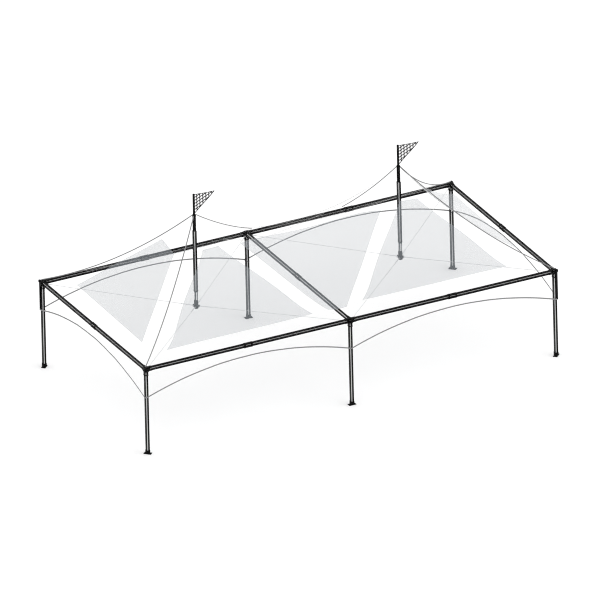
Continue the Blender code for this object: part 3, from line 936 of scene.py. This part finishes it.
# %% The canopy's shape
EDGE = 0.066
EDGE_HEIGHT = 2.5525
RISE = PEAK_HEIGHT - EDGE_HEIGHT
CORNER_SEAM_SAG = 0.49
MIDDLE_SEAM_SAG = 0.76
PANEL_SAG = 0.17
SADDLE_DROP = 0.41
SADDLE_POWER = 2.05
VALLEY_START = 0.12
HOLE = 0.048
CORNER = Vector((BAY + EDGE, HALF_WIDTH + EDGE))
MIDDLE = Vector((0, HALF_WIDTH + EDGE))
PEAK = Vector((BAY / 2, 0))


def rise_with_sag(share, sag):
    """Height share of a line up the canopy, from 0 at the eave to 1 at the peak."""
    return share - sag * share * (1 - share)


def smooth_step(share):
    """Ease from 0 to 1, level at both ends."""
    share = min(max(share, 0.0), 1.0)
    return share * share * (3 - 2 * share)


def slope_height(share, toward_corner):
    """Height on a slope; toward_corner runs from 0 at the middle leg to 1."""
    eased = smooth_step(toward_corner)
    side = 2 * toward_corner - 1
    sag = MIDDLE_SEAM_SAG * (1 - eased) + CORNER_SEAM_SAG * eased + PANEL_SAG * (1 - side * side)
    return EDGE_HEIGHT + RISE * rise_with_sag(share, sag)


def end_height(share, side):
    """Height on an end; side runs from 0 in its middle to 1 at the hip."""
    return EDGE_HEIGHT + RISE * rise_with_sag(share, CORNER_SEAM_SAG + PANEL_SAG * (1 - side * side))


def saddle_height(share, side):
    """Height on the slope between the peaks; side is 0 in the valley and 1 at its seam."""
    valley = (1 - SADDLE_DROP) * smooth_step((share - VALLEY_START) / (1 - VALLEY_START))
    rise = valley + (rise_with_sag(share, MIDDLE_SEAM_SAG) - valley) * side ** SADDLE_POWER
    return EDGE_HEIGHT + RISE * rise


def canopy_height(x, y):
    """Height of the film over any point of the plan."""
    x, y = abs(x), abs(y)
    reach = CORNER.y
    if x / PEAK.x + y / reach < 1:
        share = 1 - y / reach
        return saddle_height(share, min(x / (PEAK.x * share), 1))
    if y < x - PEAK.x:
        share = 1 - (x - PEAK.x) / reach
        return end_height(share, min(y / (reach * (1 - share)), 1))
    share = min(1 - y / reach, 0.99999)
    left = PEAK.x * share
    right = CORNER.x + (PEAK.x - CORNER.x) * share
    return slope_height(share, min(max((x - left) / (right - left), 0), 1))


print("Saddle at", round(canopy_height(0, 0), 3), "m, peaks at", PEAK_HEIGHT, "m")

# %% [markdown]
# Each grid point keeps its place in its own slope as a UV pair: how far across
# it lies, and how far up toward the peak. The panels are laid out from that
# later on.

# %% The three grids of a quarter
ROWS = 44
SLOPE_KINDS = ("slope", "end", "saddle")
CROWDING = 1.35


def grid_point(part, across, up):
    """A point of a quarter's grid, with its place in its slope; across and up run 0 to 1."""
    if part == "saddle":
        side = 1 - (1 - across) ** CROWDING
        share = up * (1 - HOLE / (MIDDLE - PEAK).length) if across == 1 else up
        x = side * PEAK.x * share
        if across < 1 and up == 1 and PEAK.x - x < HOLE:
            x = PEAK.x - HOLE
        return (x, CORNER.y * (1 - share), saddle_height(share, side)), (side, share)
    base = MIDDLE.lerp(CORNER, across) if part == "slope" else Vector((CORNER.x, CORNER.y * across))
    share = up * (1 - HOLE / (base - PEAK).length)
    plan = base.lerp(PEAK, share)
    height = slope_height(share, across) if part == "slope" else end_height(share, across)
    return (plan.x, plan.y, height), (across, share)


def quarter_grid(part, columns):
    """Lay out one grid of the quarter, with its UV map."""
    drop_selection()
    bpy.ops.mesh.primitive_grid_add(x_subdivisions=columns, y_subdivisions=ROWS, size=1)
    grid = settle(bpy.context.object, "canopy_" + part)
    places = []
    for point in grid.data.vertices:
        across, up = round(point.co.x + 0.5, 6), round(point.co.y + 0.5, 6)
        point.co, place = grid_point(part, across, up)
        places.append(place)
    lay_map(grid, lambda index, point: places[index]).name = "panels"
    mark = grid.data.attributes.new("slope_kind", "INT", "FACE")
    for value in mark.data:
        value.value = SLOPE_KINDS.index(part)
    return grid


canopy_sheet = join_pieces("canopy_sheet", [
    quarter_grid("slope", ROWS), quarter_grid("end", ROWS // 2), quarter_grid("saddle", ROWS // 2)])
print("A quarter of the canopy has", len(canopy_sheet.data.polygons), "faces")

# %% [markdown]
# Mirroring along and across the tent, with the doubles merged, makes the
# quarters one continuous sheet. Solidify then gives the film its thickness.

# %% Mirror, merge and thicken
MERGE = 0.0002
modify(canopy_sheet, "MIRROR", use_axis=(True, True, False), use_clip=True, merge_threshold=MERGE)
choose(canopy_sheet, lambda face: True)
bpy.ops.mesh.remove_doubles(threshold=MERGE)
bpy.ops.mesh.normals_make_consistent(inside=False)
drop_selection()
if sum(face.normal.z * face.area for face in canopy_sheet.data.polygons) < 0:
    canopy_sheet.data.flip_normals()
modify(canopy_sheet, "SOLIDIFY", thickness=0.0012, offset=1)
smooth_over(canopy_sheet, 60)
dress(canopy_sheet, canopy_film, "clear_canopy_film")
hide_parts(*[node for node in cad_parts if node.startswith("canopy_")])

# %% [markdown]
# The grey panels are welded into the film a hand's width or two inside the
# seams. Each edge is a curve over its slope, given by the numbers of a
# polynomial: the lower and upper edges by how far across, the side edges by how
# far up. The UV map then says where in a panel a point lies, 0 to 1 being
# inside. The three back slopes carry no panel, so their map lies far outside.

# %% Where the panels lie
PANEL_EDGES = {
    "left_end": ((0.170, -0.010, -0.012), (0.767, -0.019, -0.010),
                 (-0.709, -0.009, -1.442, 1.705), (0.864, -0.785, 1.266, -1.493)),
    "right_end": ((0.168,), (0.768,),
                  (-0.786, 0.388, -1.354, 1.599), (0.786, -0.388, 1.354, -1.599)),
    "front_left": ((0.169, 0.025, -0.073), (0.808, 0.030, -0.066),
                   (0.045, 0.405, -1.789, 1.782), (0.986, -0.817, 2.361, -2.498)),
    "front_right": ((0.184, 0.045, -0.095), (0.817, 0.017, -0.061),
                    (-0.080, 0.898, -2.537, 2.356), (0.889, -0.491, 1.772, -1.853)),
    "front_saddle": ((0.207,), (0.921, 0.003, -0.152),
                     (-0.520, -0.315), (-0.365, 4.422, -5.866, 2.883)),
}
FAR_OUTSIDE = (5, 5)


def curve(numbers, value):
    """The value of a polynomial."""
    return sum(number * value ** power for power, number in enumerate(numbers))


def panel_place(name, side, share):
    """Where a point of a slope lies in its panel."""
    lower, upper, first, second = PANEL_EDGES[name]
    held_share = min(max(share, 0.10), 0.86)
    low, high = curve(lower, side), curve(upper, side)
    left, right = curve(first, held_share), curve(second, held_share)
    return (side - left) / (right - left), (share - low) / (high - low)


layer = canopy_sheet.data.uv_layers["panels"]
mark = canopy_sheet.data.attributes["slope_kind"].data
for face in canopy_sheet.data.polygons:
    kind = SLOPE_KINDS[mark[face.index].value]
    at_front = face.center.y < 0
    bay = "right" if face.center.x > 0 else "left"
    for index in face.loop_indices:
        side, share = layer.data[index].uv
        place = FAR_OUTSIDE
        if kind == "end":
            place = panel_place(bay + "_end", side if at_front else -side, share)
        elif kind == "slope" and at_front:
            place = panel_place("front_" + bay, side, share)
        elif kind == "saddle" and at_front:
            place = panel_place("front_saddle", side if bay == "right" else -side, share)
        layer.data[index].uv = place
print(len(PANEL_EDGES), "grey panels are laid out")

# %% [markdown]
# ## Seam webbing
#
# Grey webbing tapes the hips and runs a little way down the ridge from each
# peak. A cord is sewn in along its middle, so it stands up as a ridge. It is
# laid over the film as a ribbon: seven points across at each step, dropped onto
# the film, and thickened. Each ribbon's UV map is in metres.

# %% Helpers for ribbons
TAPE_WIDTH = 0.028
TAPE_LIFT = 0.0018
TAPE_OUTLINE = ((-1, 0), (-0.5, 0.001), (-0.35, 0.009), (0, 0.013), (0.35, 0.009), (0.5, 0.001), (1, 0))


def distances(points):
    """How far along a chain of points each one lies."""
    reached = [0.0]
    for before, after in zip(points, points[1:]):
        reached.append(reached[-1] + (Vector(after) - Vector(before)).length)
    return reached


def ribbon(name, rows, thickness=0, offset=0):
    """Make a tape from rows of points across it, with its UV map in metres."""
    width = len(rows[0])
    faces = []
    for row in range(len(rows) - 1):
        for first in range(row * width, row * width + width - 1):
            faces.append((first, first + 1, first + width + 1, first + width))
    piece = build(name, [point for row in rows for point in row], faces)
    travelled = distances([row[width // 2] for row in rows])
    across = distances(rows[0])
    lay_map(piece, lambda index, point: (travelled[index // width], across[index % width]))
    if thickness:
        modify(piece, "SOLIDIFY", thickness=thickness, offset=offset)
    smooth_over(piece, 50)
    return piece


def roof_tape(name, start, end, steps):
    """Lay a tape on the canopy between two places of the plan."""
    along = (end - start).normalized()
    sideways = Vector((-along.y, along.x))
    rows = []
    for step in range(steps + 1):
        middle = start.lerp(end, step / steps)
        row = []
        for part, lift in TAPE_OUTLINE:
            spot = middle + sideways * part * TAPE_WIDTH / 2
            row.append((spot.x, spot.y, canopy_height(spot.x, spot.y) + TAPE_LIFT + lift))
        rows.append(row)
    tape = ribbon(name, rows, 0.0016, 1)
    if sum(face.normal.z for face in tape.data.polygons if face.center.z > 0) < 0:
        tape.data.flip_normals()
    return dress(tape, grey_webbing, "clear_canopy_film")


print("Ribbons are ready")

# %% Hips and ridge
PEAK_GAP = 0.056
CORNER_GAP = 0.070
RIDGE_END = 1.35
for bay, turn in (("left", -1), ("right", 1)):
    peak = Vector((turn * PEAK.x, 0))
    for side_name, side in (("front", -1), ("back", 1)):
        outer = Vector((turn * CORNER.x, side * CORNER.y))
        toward = (outer - peak).normalized()
        roof_tape(side_name + "_" + bay + "_hip_webbing",
                              peak + toward * PEAK_GAP, outer - toward * CORNER_GAP, 60)
    roof_tape(bay + "_ridge_webbing",
                          peak - Vector((turn * PEAK_GAP, 0)), Vector((turn * RIDGE_END, 0)), 30)

# %% [markdown]
# ## Valance
#
# The valance is the curtain of film under the eave. It hangs just outside the
# beams, and its hem is cut in one arch to each span, tied at the legs. The hem
# is bound with grey webbing. Between the legs the film swings a few
# millimetres in and out.

# %% Valance sheets
HEM_AT_LEG = 0.820
HEM_AT_MIDDLE = 0.300
HEM_WIDTH = 0.034
VALANCE_PLANE = 0.0645
VALANCE_TOP = EDGE_HEIGHT - 0.0004
SIDE_REACH = BAY + EDGE
END_REACH = HALF_WIDTH + 0.0625
SWING = 0.0035


def span_side(along, posts):
    """Place in its span, from -1 at one leg to 1 at the next."""
    for first, second in zip(posts, posts[1:]):
        if along <= second or second == posts[-1]:
            return min(max(2 * (along - first) / (second - first) - 1, -1), 1)


def hem_height(along, posts):
    """Height of the arched hem."""
    side = span_side(along, posts)
    return EAVE - HEM_AT_MIDDLE - (HEM_AT_LEG - HEM_AT_MIDDLE) * side * side


def swing(along, down, posts):
    """How far the film swings out or in at a place."""
    side = span_side(along, posts)
    loose = (1 - side * side) * down * down
    return SWING * loose * (math.sin(along * 5.3) + 0.5 * math.sin(along * 11.7 + 1))


def hang_valance(name, reach, posts, axis, outward, distance):
    """Make one side's valance and its bound hem."""
    def spot(along, down, lift=0.0):
        height = VALANCE_TOP + (hem_height(along, posts) - VALANCE_TOP) * down + lift
        out = distance + VALANCE_PLANE + swing(along, down, posts)
        return axis * along + outward * out + UP * height

    steps = 160 if reach > 4 else 80
    rows, hem = [], []
    for step in range(steps + 1):
        along = reach * (2 * step / steps - 1)
        rows.append([spot(along, down / 10) for down in range(11)])
        slope = (hem_height(along + 0.01, posts) - hem_height(along - 0.01, posts)) / 0.02
        width = HEM_WIDTH * math.sqrt(1 + min(slope * slope, 1))
        hem.append([spot(along, 1, lift * width) for lift in (-0.05, 0.45, 0.95)])
    sheet = ribbon(name, rows, 0.0012)
    area = area_of(sheet) / 2
    dress(sheet, valance_film, "clear_canopy_film")
    binding = dress(ribbon(name + "_hem", hem, 0.0040), grey_webbing, "clear_canopy_film")
    return sheet, binding, area


valances = {}
for side_name, side in (("front", -1), ("back", 1)):
    valances[side_name + "_valance"] = hang_valance(
        side_name + "_valance_sheet", SIDE_REACH, (-BAY, 0, BAY),
        Vector((1, 0, 0)), Vector((0, side, 0)), HALF_WIDTH)
for side_name, side in (("left", -1), ("right", 1)):
    valances[side_name + "_end_valance"] = hang_valance(
        side_name + "_end_valance_sheet", END_REACH, (-HALF_WIDTH, HALF_WIDTH),
        Vector((0, 1, 0)), Vector((side, 0, 0)), BAY)
for node, (sheet, binding, area) in valances.items():
    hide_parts(node)
    print(node, "has", round(area, 2), "m2 of film")

# %% [markdown]
# ## Corner strips and hem straps
#
# The valance is two lengths that meet at two opposite corners of the tent. A
# black tape is folded round the corner there, from the head fitting to the hem,
# with its lower end cut at a slant. A strap ties the hem to every leg.

# %% Corner strips
STRIP_HIGH = 2.548
STRIP_LOW = 1.668
STRIP_WING = 0.046
STRIP_CUT = 0.035
for leg_name in ("back_left", "front_right"):
    place = LEG_PLACES[leg_name]
    out_x = Vector((math.copysign(1, place.x), 0, 0))
    out_y = Vector((0, math.copysign(1, place.y), 0))
    corner = place + (out_x + out_y) * (EDGE + 0.0004)
    rows = []
    for step in range(25):
        height = STRIP_HIGH - (STRIP_HIGH - STRIP_LOW) * step / 24
        cut = STRIP_CUT if step == 24 else 0
        row = []
        for part in (-1, -0.5, -0.08, 0.08, 0.5, 1):
            wing = out_x if part < 0 else out_y
            row.append(corner - wing * abs(part) * STRIP_WING + UP * (height + cut * abs(part)))
        rows.append(row)
    dress(ribbon(leg_name + "_corner_strip", rows, 0.0022), black_webbing, "clear_canopy_film")
print("Two corner strips")

# %% Straps round the legs
STRAP_HALF = LEG_SIDE / 2 + 0.0035
STRAP_RADIUS = 0.05
strap_pattern = start_block(
    "strap_pattern", (-STRAP_HALF, -STRAP_HALF, 1.668), (STRAP_HALF, STRAP_HALF, 1.694))
open_tube(strap_pattern, 0.0024, 0.004, 3)
buckle_pattern = start_block(
    "buckle_pattern", (-0.017, -STRAP_HALF - 0.0055, 1.666), (0.017, 0.001 - STRAP_HALF, 1.696))
choose(buckle_pattern, lambda face: face.normal.y < -0.9)
bpy.ops.mesh.inset(thickness=0.005, depth=-0.003)
drop_selection()
soft_edges(buckle_pattern, 0.0010)
for leg_name, place in LEG_PLACES.items():
    move = Matrix.Translation(place) @ Matrix.Rotation(0 if place.y < 0 else math.pi, 4, "Z")
    parts = [copy_piece(strap_pattern, "band", move), copy_piece(buckle_pattern, "buckle", move)]
    strap = join_and_dress(leg_name + "_hem_strap", parts, dark_webbing, "clear_canopy_film")
    lay_map(strap, lambda index, point: (
        math.atan2(point.y - place.y, point.x - place.x) * STRAP_RADIUS, point.z))
discard(strap_pattern, buckle_pattern)
print(len(LEG_PLACES), "straps tie the hem to the legs")

# %% [markdown]
# ## Corner caps
#
# At each outer corner the canopy's edge is caught under a small black cap that
# is bolted over the head fitting and turned down at its tip.

# %% Caps on the outer corners
cap_pattern = start_block("cap_pattern", (0.024, 0.024, 0.0600), (0.080, 0.080, 0.0660))
step_faces(cap_pattern, looks_down, (0.004, (0, 0, 0)))
step_faces(cap_pattern, lambda face: looks_down(face) and face.area < 0.003
           and max(face.center.x, face.center.y) > 0.07, (None, UP * -0.060))
soft_edges(cap_pattern, 0.0015)
smooth_over(cap_pattern)
for leg_name, place in LEG_PLACES.items():
    if place.x:
        flip = Matrix.Diagonal((math.copysign(1, place.x), math.copysign(1, place.y), 1, 1))
        cap = copy_piece(cap_pattern, leg_name + "_corner_cap", Matrix.Translation(place + UP * EAVE) @ flip)
        dress(cap, powder_coat, "black_cast_fitting")
discard(cap_pattern)
print("Four corner caps")

# %% [markdown]
# ## Wire ropes
#
# Four taut wire ropes hold each mast foot. A wire rope is strands laid in a
# spiral round each other, so its outline has lobes that turn as it runs. The
# ropes are taut and hang from end to end, so each is one straight sweep. The
# ends are pressed sleeves with a fork and a pin, and the lower end has a
# turnbuckle to draw the rope tight.

# %% One rope as a twisted sweep
ROPE_RADIUS = 0.0055
LAY_LENGTH = 0.085
LOBES = 7
VALLEY_SHARE = 0.80
OUTLINE = 2 * LOBES


def twisted_rope(name, start, end):
    """Sweep a lobed outline along a line while it turns."""
    turn = UP.rotation_difference((end - start).normalized()).to_matrix()
    length = (end - start).length
    rings = int(length / LAY_LENGTH * LOBES)
    points = []
    for ring in range(rings + 1):
        along = length * ring / rings
        twist = 2 * math.pi * along / LAY_LENGTH
        for step in range(OUTLINE):
            angle = 2 * math.pi * step / OUTLINE + twist
            radius = ROPE_RADIUS * (1.0 if step % 2 else VALLEY_SHARE)
            points.append(start + turn @ Vector((radius * math.cos(angle), radius * math.sin(angle), along)))
    faces = [tuple(reversed(range(OUTLINE))), tuple(range(len(points) - OUTLINE, len(points)))]
    for low in range(0, rings * OUTLINE, OUTLINE):
        high = low + OUTLINE
        for step in range(OUTLINE):
            after = (step + 1) % OUTLINE
            faces.append((low + step, low + after, high + after, high + step))
    piece = build(name, points, faces)
    smooth_over(piece, 80)
    return piece


print("A rope is", 2 * ROPE_RADIUS * 1000, "mm thick")

# %% [markdown]
# The terminal is modelled lying along +Z from its pin at the origin: a fork of
# two cheeks, a round body that narrows to the pressed sleeve, and a pin with a
# head through the cheeks. The turnbuckle is an open frame on a threaded rod.

# %% Terminal and turnbuckle patterns
OTHER_SIDE = Matrix.Diagonal((1, -1, 1, 1))
body = start_round("terminal_body", 0.0095, 0.030, 0.140, 20)
step_faces(body, looks_up, (0.0026, UP * 0.012), (None, UP * 0.035))
step_faces(body, looks_down, (0.0015, UP * -0.004))
smooth_over(body, 40)
cheek = start_block("terminal_cheek", (-0.011, 0.0070, -0.012), (0.011, 0.0115, 0.036))
bevel_along(cheek, 1, 0.0105, 6, lambda point: point.z < 0)
smooth_over(cheek, 40)
yoke = start_block("terminal_yoke", (-0.0105, -0.0115, 0.024), (0.0105, 0.0115, 0.036))
soft_edges(yoke, 0.0015)
pin = start_round("terminal_pin", 0.0055, -0.016, 0.014, 16)
choose(pin, looks_down)
bpy.ops.mesh.extrude_region_move(TRANSFORM_OT_translate={"value": (0, 0, -0.004)})
bpy.ops.transform.resize(value=(1.5, 1.5, 1))
drop_selection()
pin.data.transform(Matrix.Rotation(math.pi / 2, 4, "X"))
terminal_pattern = join_pieces("terminal_pattern", [
    body, cheek, copy_piece(cheek, "other_cheek", OTHER_SIDE), yoke, pin])
print("The terminal has", len(terminal_pattern.data.polygons), "faces")

frame_bar = start_block("turnbuckle_bar", (-0.0045, 0.0085, 0.190), (0.0045, 0.0135, 0.330))
soft_edges(frame_bar, 0.0018)
collars = []
for low, high in ((0.182, 0.204), (0.316, 0.338)):
    collar = start_round("turnbuckle_collar", 0.0138, low, high, 12)
    soft_edges(collar, 0.0015)
    collars.append(collar)
rod = start_round("turnbuckle_rod", 0.0068, 0.140, 0.236, 16)
step_faces(rod, looks_up, (0.001, UP * 0.003))
smooth_over(rod, 40)
turnbuckle_pattern = join_pieces("turnbuckle_pattern", [
    frame_bar, copy_piece(frame_bar, "other_bar", OTHER_SIDE), rod] + collars)
print("The turnbuckle has", len(turnbuckle_pattern.data.polygons), "faces")


# %% Eight ropes from lug to ear
def along_line(start, direction):
    """A placement that puts +Z on a direction and keeps +Y level."""
    level = UP.cross(direction).normalized()
    return placement(start, level.cross(direction), level, direction)


LUG_END = 0.125 / math.sqrt(2) + 0.045
EAR_END = 0.095
PIN_INSET = 0.014
LUG_HEIGHT = EAVE - 0.030
EAR_HEIGHT = 2.365
TERMINAL_LENGTH = 0.170
TURNBUCKLE_LENGTH = 0.330
BAY_LEGS = {
    "left": ("back_left", "front_left", "front_middle", "back_middle"),
    "right": ("back_middle", "front_middle", "front_right", "back_right"),
}
ropes = []
for bay, leg_names in BAY_LEGS.items():
    for leg_name in leg_names:
        node = leg_name + "_cable"
        if "middle" in leg_name:
            node = leg_name + "_to_" + bay + "_cable"
        toward = (MAST_PLACES[bay] - LEG_PLACES[leg_name]).normalized()
        upper = LEG_PLACES[leg_name] + toward * (LUG_END - PIN_INSET) + UP * LUG_HEIGHT
        lower = MAST_PLACES[bay] - toward * (EAR_END - PIN_INSET) + UP * EAR_HEIGHT
        direction = (lower - upper).normalized()
        top_end = copy_piece(terminal_pattern, "top_end", along_line(upper, direction))
        low_end = copy_piece(terminal_pattern, "low_end", along_line(lower, -direction))
        buckle = copy_piece(turnbuckle_pattern, "buckle", along_line(lower, -direction))
        rope = twisted_rope(
            "rope", upper + direction * TERMINAL_LENGTH, lower - direction * TURNBUCKLE_LENGTH)
        piece = join_pieces(node.replace("_cable", "_wire_rope"), [rope, top_end, low_end, buckle])
        dress(piece, galvanised, "galvanised_cable")
        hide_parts(node)
        ropes.append(piece)
discard(terminal_pattern, turnbuckle_pattern)
print(len(ropes), "ropes, each with", len(ropes[0].data.polygons), "faces")

# %% [markdown]
# ## Bolts
#
# The sleeves, the splices and the base plates are held by hexagon bolts with
# washers. One bolt is modelled with its chamfered head and washer, and copied.

# %% One bolt
washer = start_round("washer", 0.0125, 0, 0.0022, 20)
soft_edges(washer, 0.0006, 1)
bolt_head = start_round("bolt_head", 0.0105, 0.0018, 0.0088, 6)
step_faces(bolt_head, looks_up, (0.0018, UP * 0.0010), (0.0030, UP * -0.0006))
bolt_pattern = join_pieces("bolt_pattern", [washer, bolt_head])
print("A bolt has", len(bolt_pattern.data.polygons), "faces")


# %% Bolts on every fitting
def bolt_set(name, spots):
    """Copy the bolt to several spots, each a point and the way it faces."""
    bolts = []
    for point, outward in spots:
        turn = UP.rotation_difference(outward).to_matrix().to_4x4()
        bolts.append(copy_piece(bolt_pattern, "bolt", Matrix.Translation(point) @ turn))
    join_and_dress(name, bolts, powder_coat, "black_cast_fitting")


BOLTS_ALONG = (-0.038, 0.042)
BOLTS_ACROSS = (-0.038, 0.002)


def beam_bolts(start, along):
    """Spots for bolts on both sides of a beam's sleeve, at two heights."""
    return [(start + side * (BEAM_WIDTH / 2 + SLEEVE_WALL) + UP * height, side)
            for side in (along.cross(UP), UP.cross(along))
            for height in (BOLTS_ALONG if along.x else BOLTS_ACROSS)]


HEAD_BOLT_REACH = 0.140
SPLICE_BOLT_REACH = 0.060
BASE_BOLTS = [Vector((x, y, 0.010)) for x in (-0.086, 0.086) for y in (-0.034, 0.034)]
for leg_name, place in LEG_PLACES.items():
    outward = Vector((0, math.copysign(1, place.y), 0))
    sleeve = place + outward * (LEG_SIDE / 2 + SLEEVE_WALL) + Vector((-outward.y * 0.020, 0, 0))
    spots = [(sleeve + UP * height, outward) for height in (EAVE - 0.090, EAVE - 0.140)]
    for along in arms(leg_name):
        spots += beam_bolts(place + UP * EAVE + along * HEAD_BOLT_REACH, along)
    bolt_set(leg_name + "_head_bolts", spots)
    turned = math.radians(-45 if place.x * place.y > 0 else 45) if place.x else 0.0
    plate = Matrix.Translation(place) @ Matrix.Rotation(turned, 4, "Z")
    bolt_set(leg_name + "_base_bolts", [(plate @ spot, UP) for spot in BASE_BOLTS])
for beam_name, ends in BEAM_ENDS.items():
    along = way_between(*ends)
    spots = []
    for shift in (-SPLICE_BOLT_REACH, SPLICE_BOLT_REACH):
        spots += beam_bolts(middle_of(*ends) + along * shift, along)
    bolt_set(beam_name.replace("beam", "splice") + "_bolts", spots)
discard(bolt_pattern)
print("Bolts on", 2 * len(LEG_PLACES) + len(BEAM_ENDS), "fittings")

# %% [markdown]
# ## Masts
#
# A mast can be jacked up to tension the canopy. A clamp ring closes its lower
# end, and the jack under it has a long slot in each side that shows the bright
# screw inside. At the peak a collar clamps the film round the mast head, and a
# cap closes the pole.

# %% Clamp ring, jack screw, peak collar and pole cap
RING_HALF = MAST_SIDE / 2 + 0.0035
ring_pattern = start_block("ring_pattern", (-RING_HALF, -RING_HALF, 2.796), (RING_HALF, RING_HALF, 2.828))
open_tube(ring_pattern, 0.0033)
soft_edges(ring_pattern, 0.0010)

screw_pattern = start_block("screw_pattern", (-0.0150, 0.0365, 2.545), (0.0150, 0.0385, 2.770))
bevel_along(screw_pattern, 1, 0.0145, 6)
choose(screw_pattern, lambda face: face.normal.y > 0.9)
bpy.ops.mesh.inset(thickness=0.003, depth=-0.0006)
drop_selection()
jack_pattern = join_pieces("jack_pattern", [
    copy_piece(screw_pattern, "slot", Matrix.Rotation(index * math.pi / 2, 4, "Z")) for index in range(4)])

collar_pattern = start_round("collar_pattern", 0.0505, 5.0080, 5.0480, 40)
step_faces(collar_pattern, looks_up, (0.020, UP * 0.039))
soft_edges(collar_pattern, 0.0015)
cap_pattern = start_round("cap_pattern", 0.0305, 5.648, 5.660, 24)
step_faces(cap_pattern, looks_up, (0.006, UP * 0.007))
soft_edges(cap_pattern, 0.0012)
for pattern in (collar_pattern, cap_pattern):
    smooth_over(pattern, 30)
for bay, place in MAST_PLACES.items():
    for ending, pattern, material, slot in (
            ("_mast_ring", ring_pattern, powder_coat, "black_cast_fitting"),
            ("_jack_screw", jack_pattern, bright_zinc, "galvanised_cable"),
            ("_peak_collar", collar_pattern, powder_coat, "black_cast_fitting"),
            ("_pole_cap", cap_pattern, powder_coat, "black_cast_fitting")):
        dress(copy_piece(pattern, bay + ending, Matrix.Translation(place)), material, slot)
discard(ring_pattern, screw_pattern, jack_pattern, collar_pattern, cap_pattern)
print("Masts dressed")

# %% [markdown]
# ## Pennants
#
# Each pennant is a triangle of lattice cloth with a sleeve on the pole and a
# hem along its two long edges. The cloth ripples a little towards its tip.

# %% Pennants
HOIST = 0.0245
PENNANT_LOW = 5.088
PENNANT_HIGH = 5.655
TIP = Vector((0.634, 0, 5.620))
TIP_SHARE = 0.985
RIPPLE = 0.010
PENNANT_STEPS = 36


def pennant_point(place, out, up):
    """A point of a pennant; out runs from pole to tip, up from lower to upper edge."""
    low = Vector((HOIST, 0, PENNANT_LOW)).lerp(TIP, out)
    high = Vector((HOIST, 0, PENNANT_HIGH)).lerp(TIP, out)
    ripple = RIPPLE * out * math.sin(out * 7.0 + up * 1.2)
    return place + low.lerp(high, up) + Vector((0, ripple, 0))


def pennant_hem(name, place, up, width):
    """A hem along a pennant's lower edge, with up 0, or its upper edge, with up 1."""
    run = (TIP - pennant_point(Vector(), 0, up)).normalized()
    inside = Vector((-run.z, 0, run.x)) * (1 - 2 * up) * width
    rows = []
    for step in range(PENNANT_STEPS + 1):
        edge = pennant_point(place, TIP_SHARE * step / PENNANT_STEPS, up)
        rows.append([edge, edge + inside / 2, edge + inside])
    return dress(ribbon(name, rows, 0.0026), dark_webbing, "pennant_mesh")


hoist_pattern = start_round("hoist_pattern", 0.0302, 5.090, 5.650, 24)
open_tube(hoist_pattern, 0.0055)
smooth_over(hoist_pattern)
lay_map(hoist_pattern, lambda index, point: (point.z, math.atan2(point.y, point.x) * 0.030))
for bay, place in MAST_PLACES.items():
    hoist = dress(copy_piece(hoist_pattern, bay + "_pennant_hoist", Matrix.Translation(place)),
                  black_webbing, "pennant_mesh")
    cloth = ribbon(bay + "_pennant_cloth", [
        [pennant_point(place, TIP_SHARE * step / PENNANT_STEPS, up / 20) for up in range(21)]
        for step in range(PENNANT_STEPS + 1)])
    lay_map(cloth, lambda index, point: (point.x - place.x, point.z))
    modify(cloth, "SOLIDIFY", thickness=0.0012, offset=0)
    dress(cloth, pennant_lattice, "pennant_mesh")
    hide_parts(bay + "_pennant")
    low_hem = pennant_hem(bay + "_pennant_low_hem", place, 0, 0.024)
    top_hem = pennant_hem(bay + "_pennant_top_hem", place, 1, 0.018)
discard(hoist_pattern)
print("Two pennants")

# %% [markdown]
# ## Floor
#
# The floor is a wide, pale plane just under the ground.

print("Next comes the floor")

# %% Floor
FLOOR_WIDTH = 300
drop_selection()
bpy.ops.mesh.primitive_plane_add(size=1, location=(0, 0, -0.0005), scale=(1, 1, 1))
floor = bpy.context.object
floor.name = "studio_floor"
floor.data.transform(Matrix.Diagonal((FLOOR_WIDTH, FLOOR_WIDTH, 1, 1)))
material, tree, shader, place = start_finish("pale_studio_floor")
cloudy = noise(tree, place["Object"], 2.5)
set_look(tree, shader, blend_colours(tree, cloudy, (0.885, 0.885, 0.885), (0.905, 0.905, 0.905)), 0.9, 0.1)
floor.data.materials.append(material)
print("The floor is", FLOOR_WIDTH, "m wide")
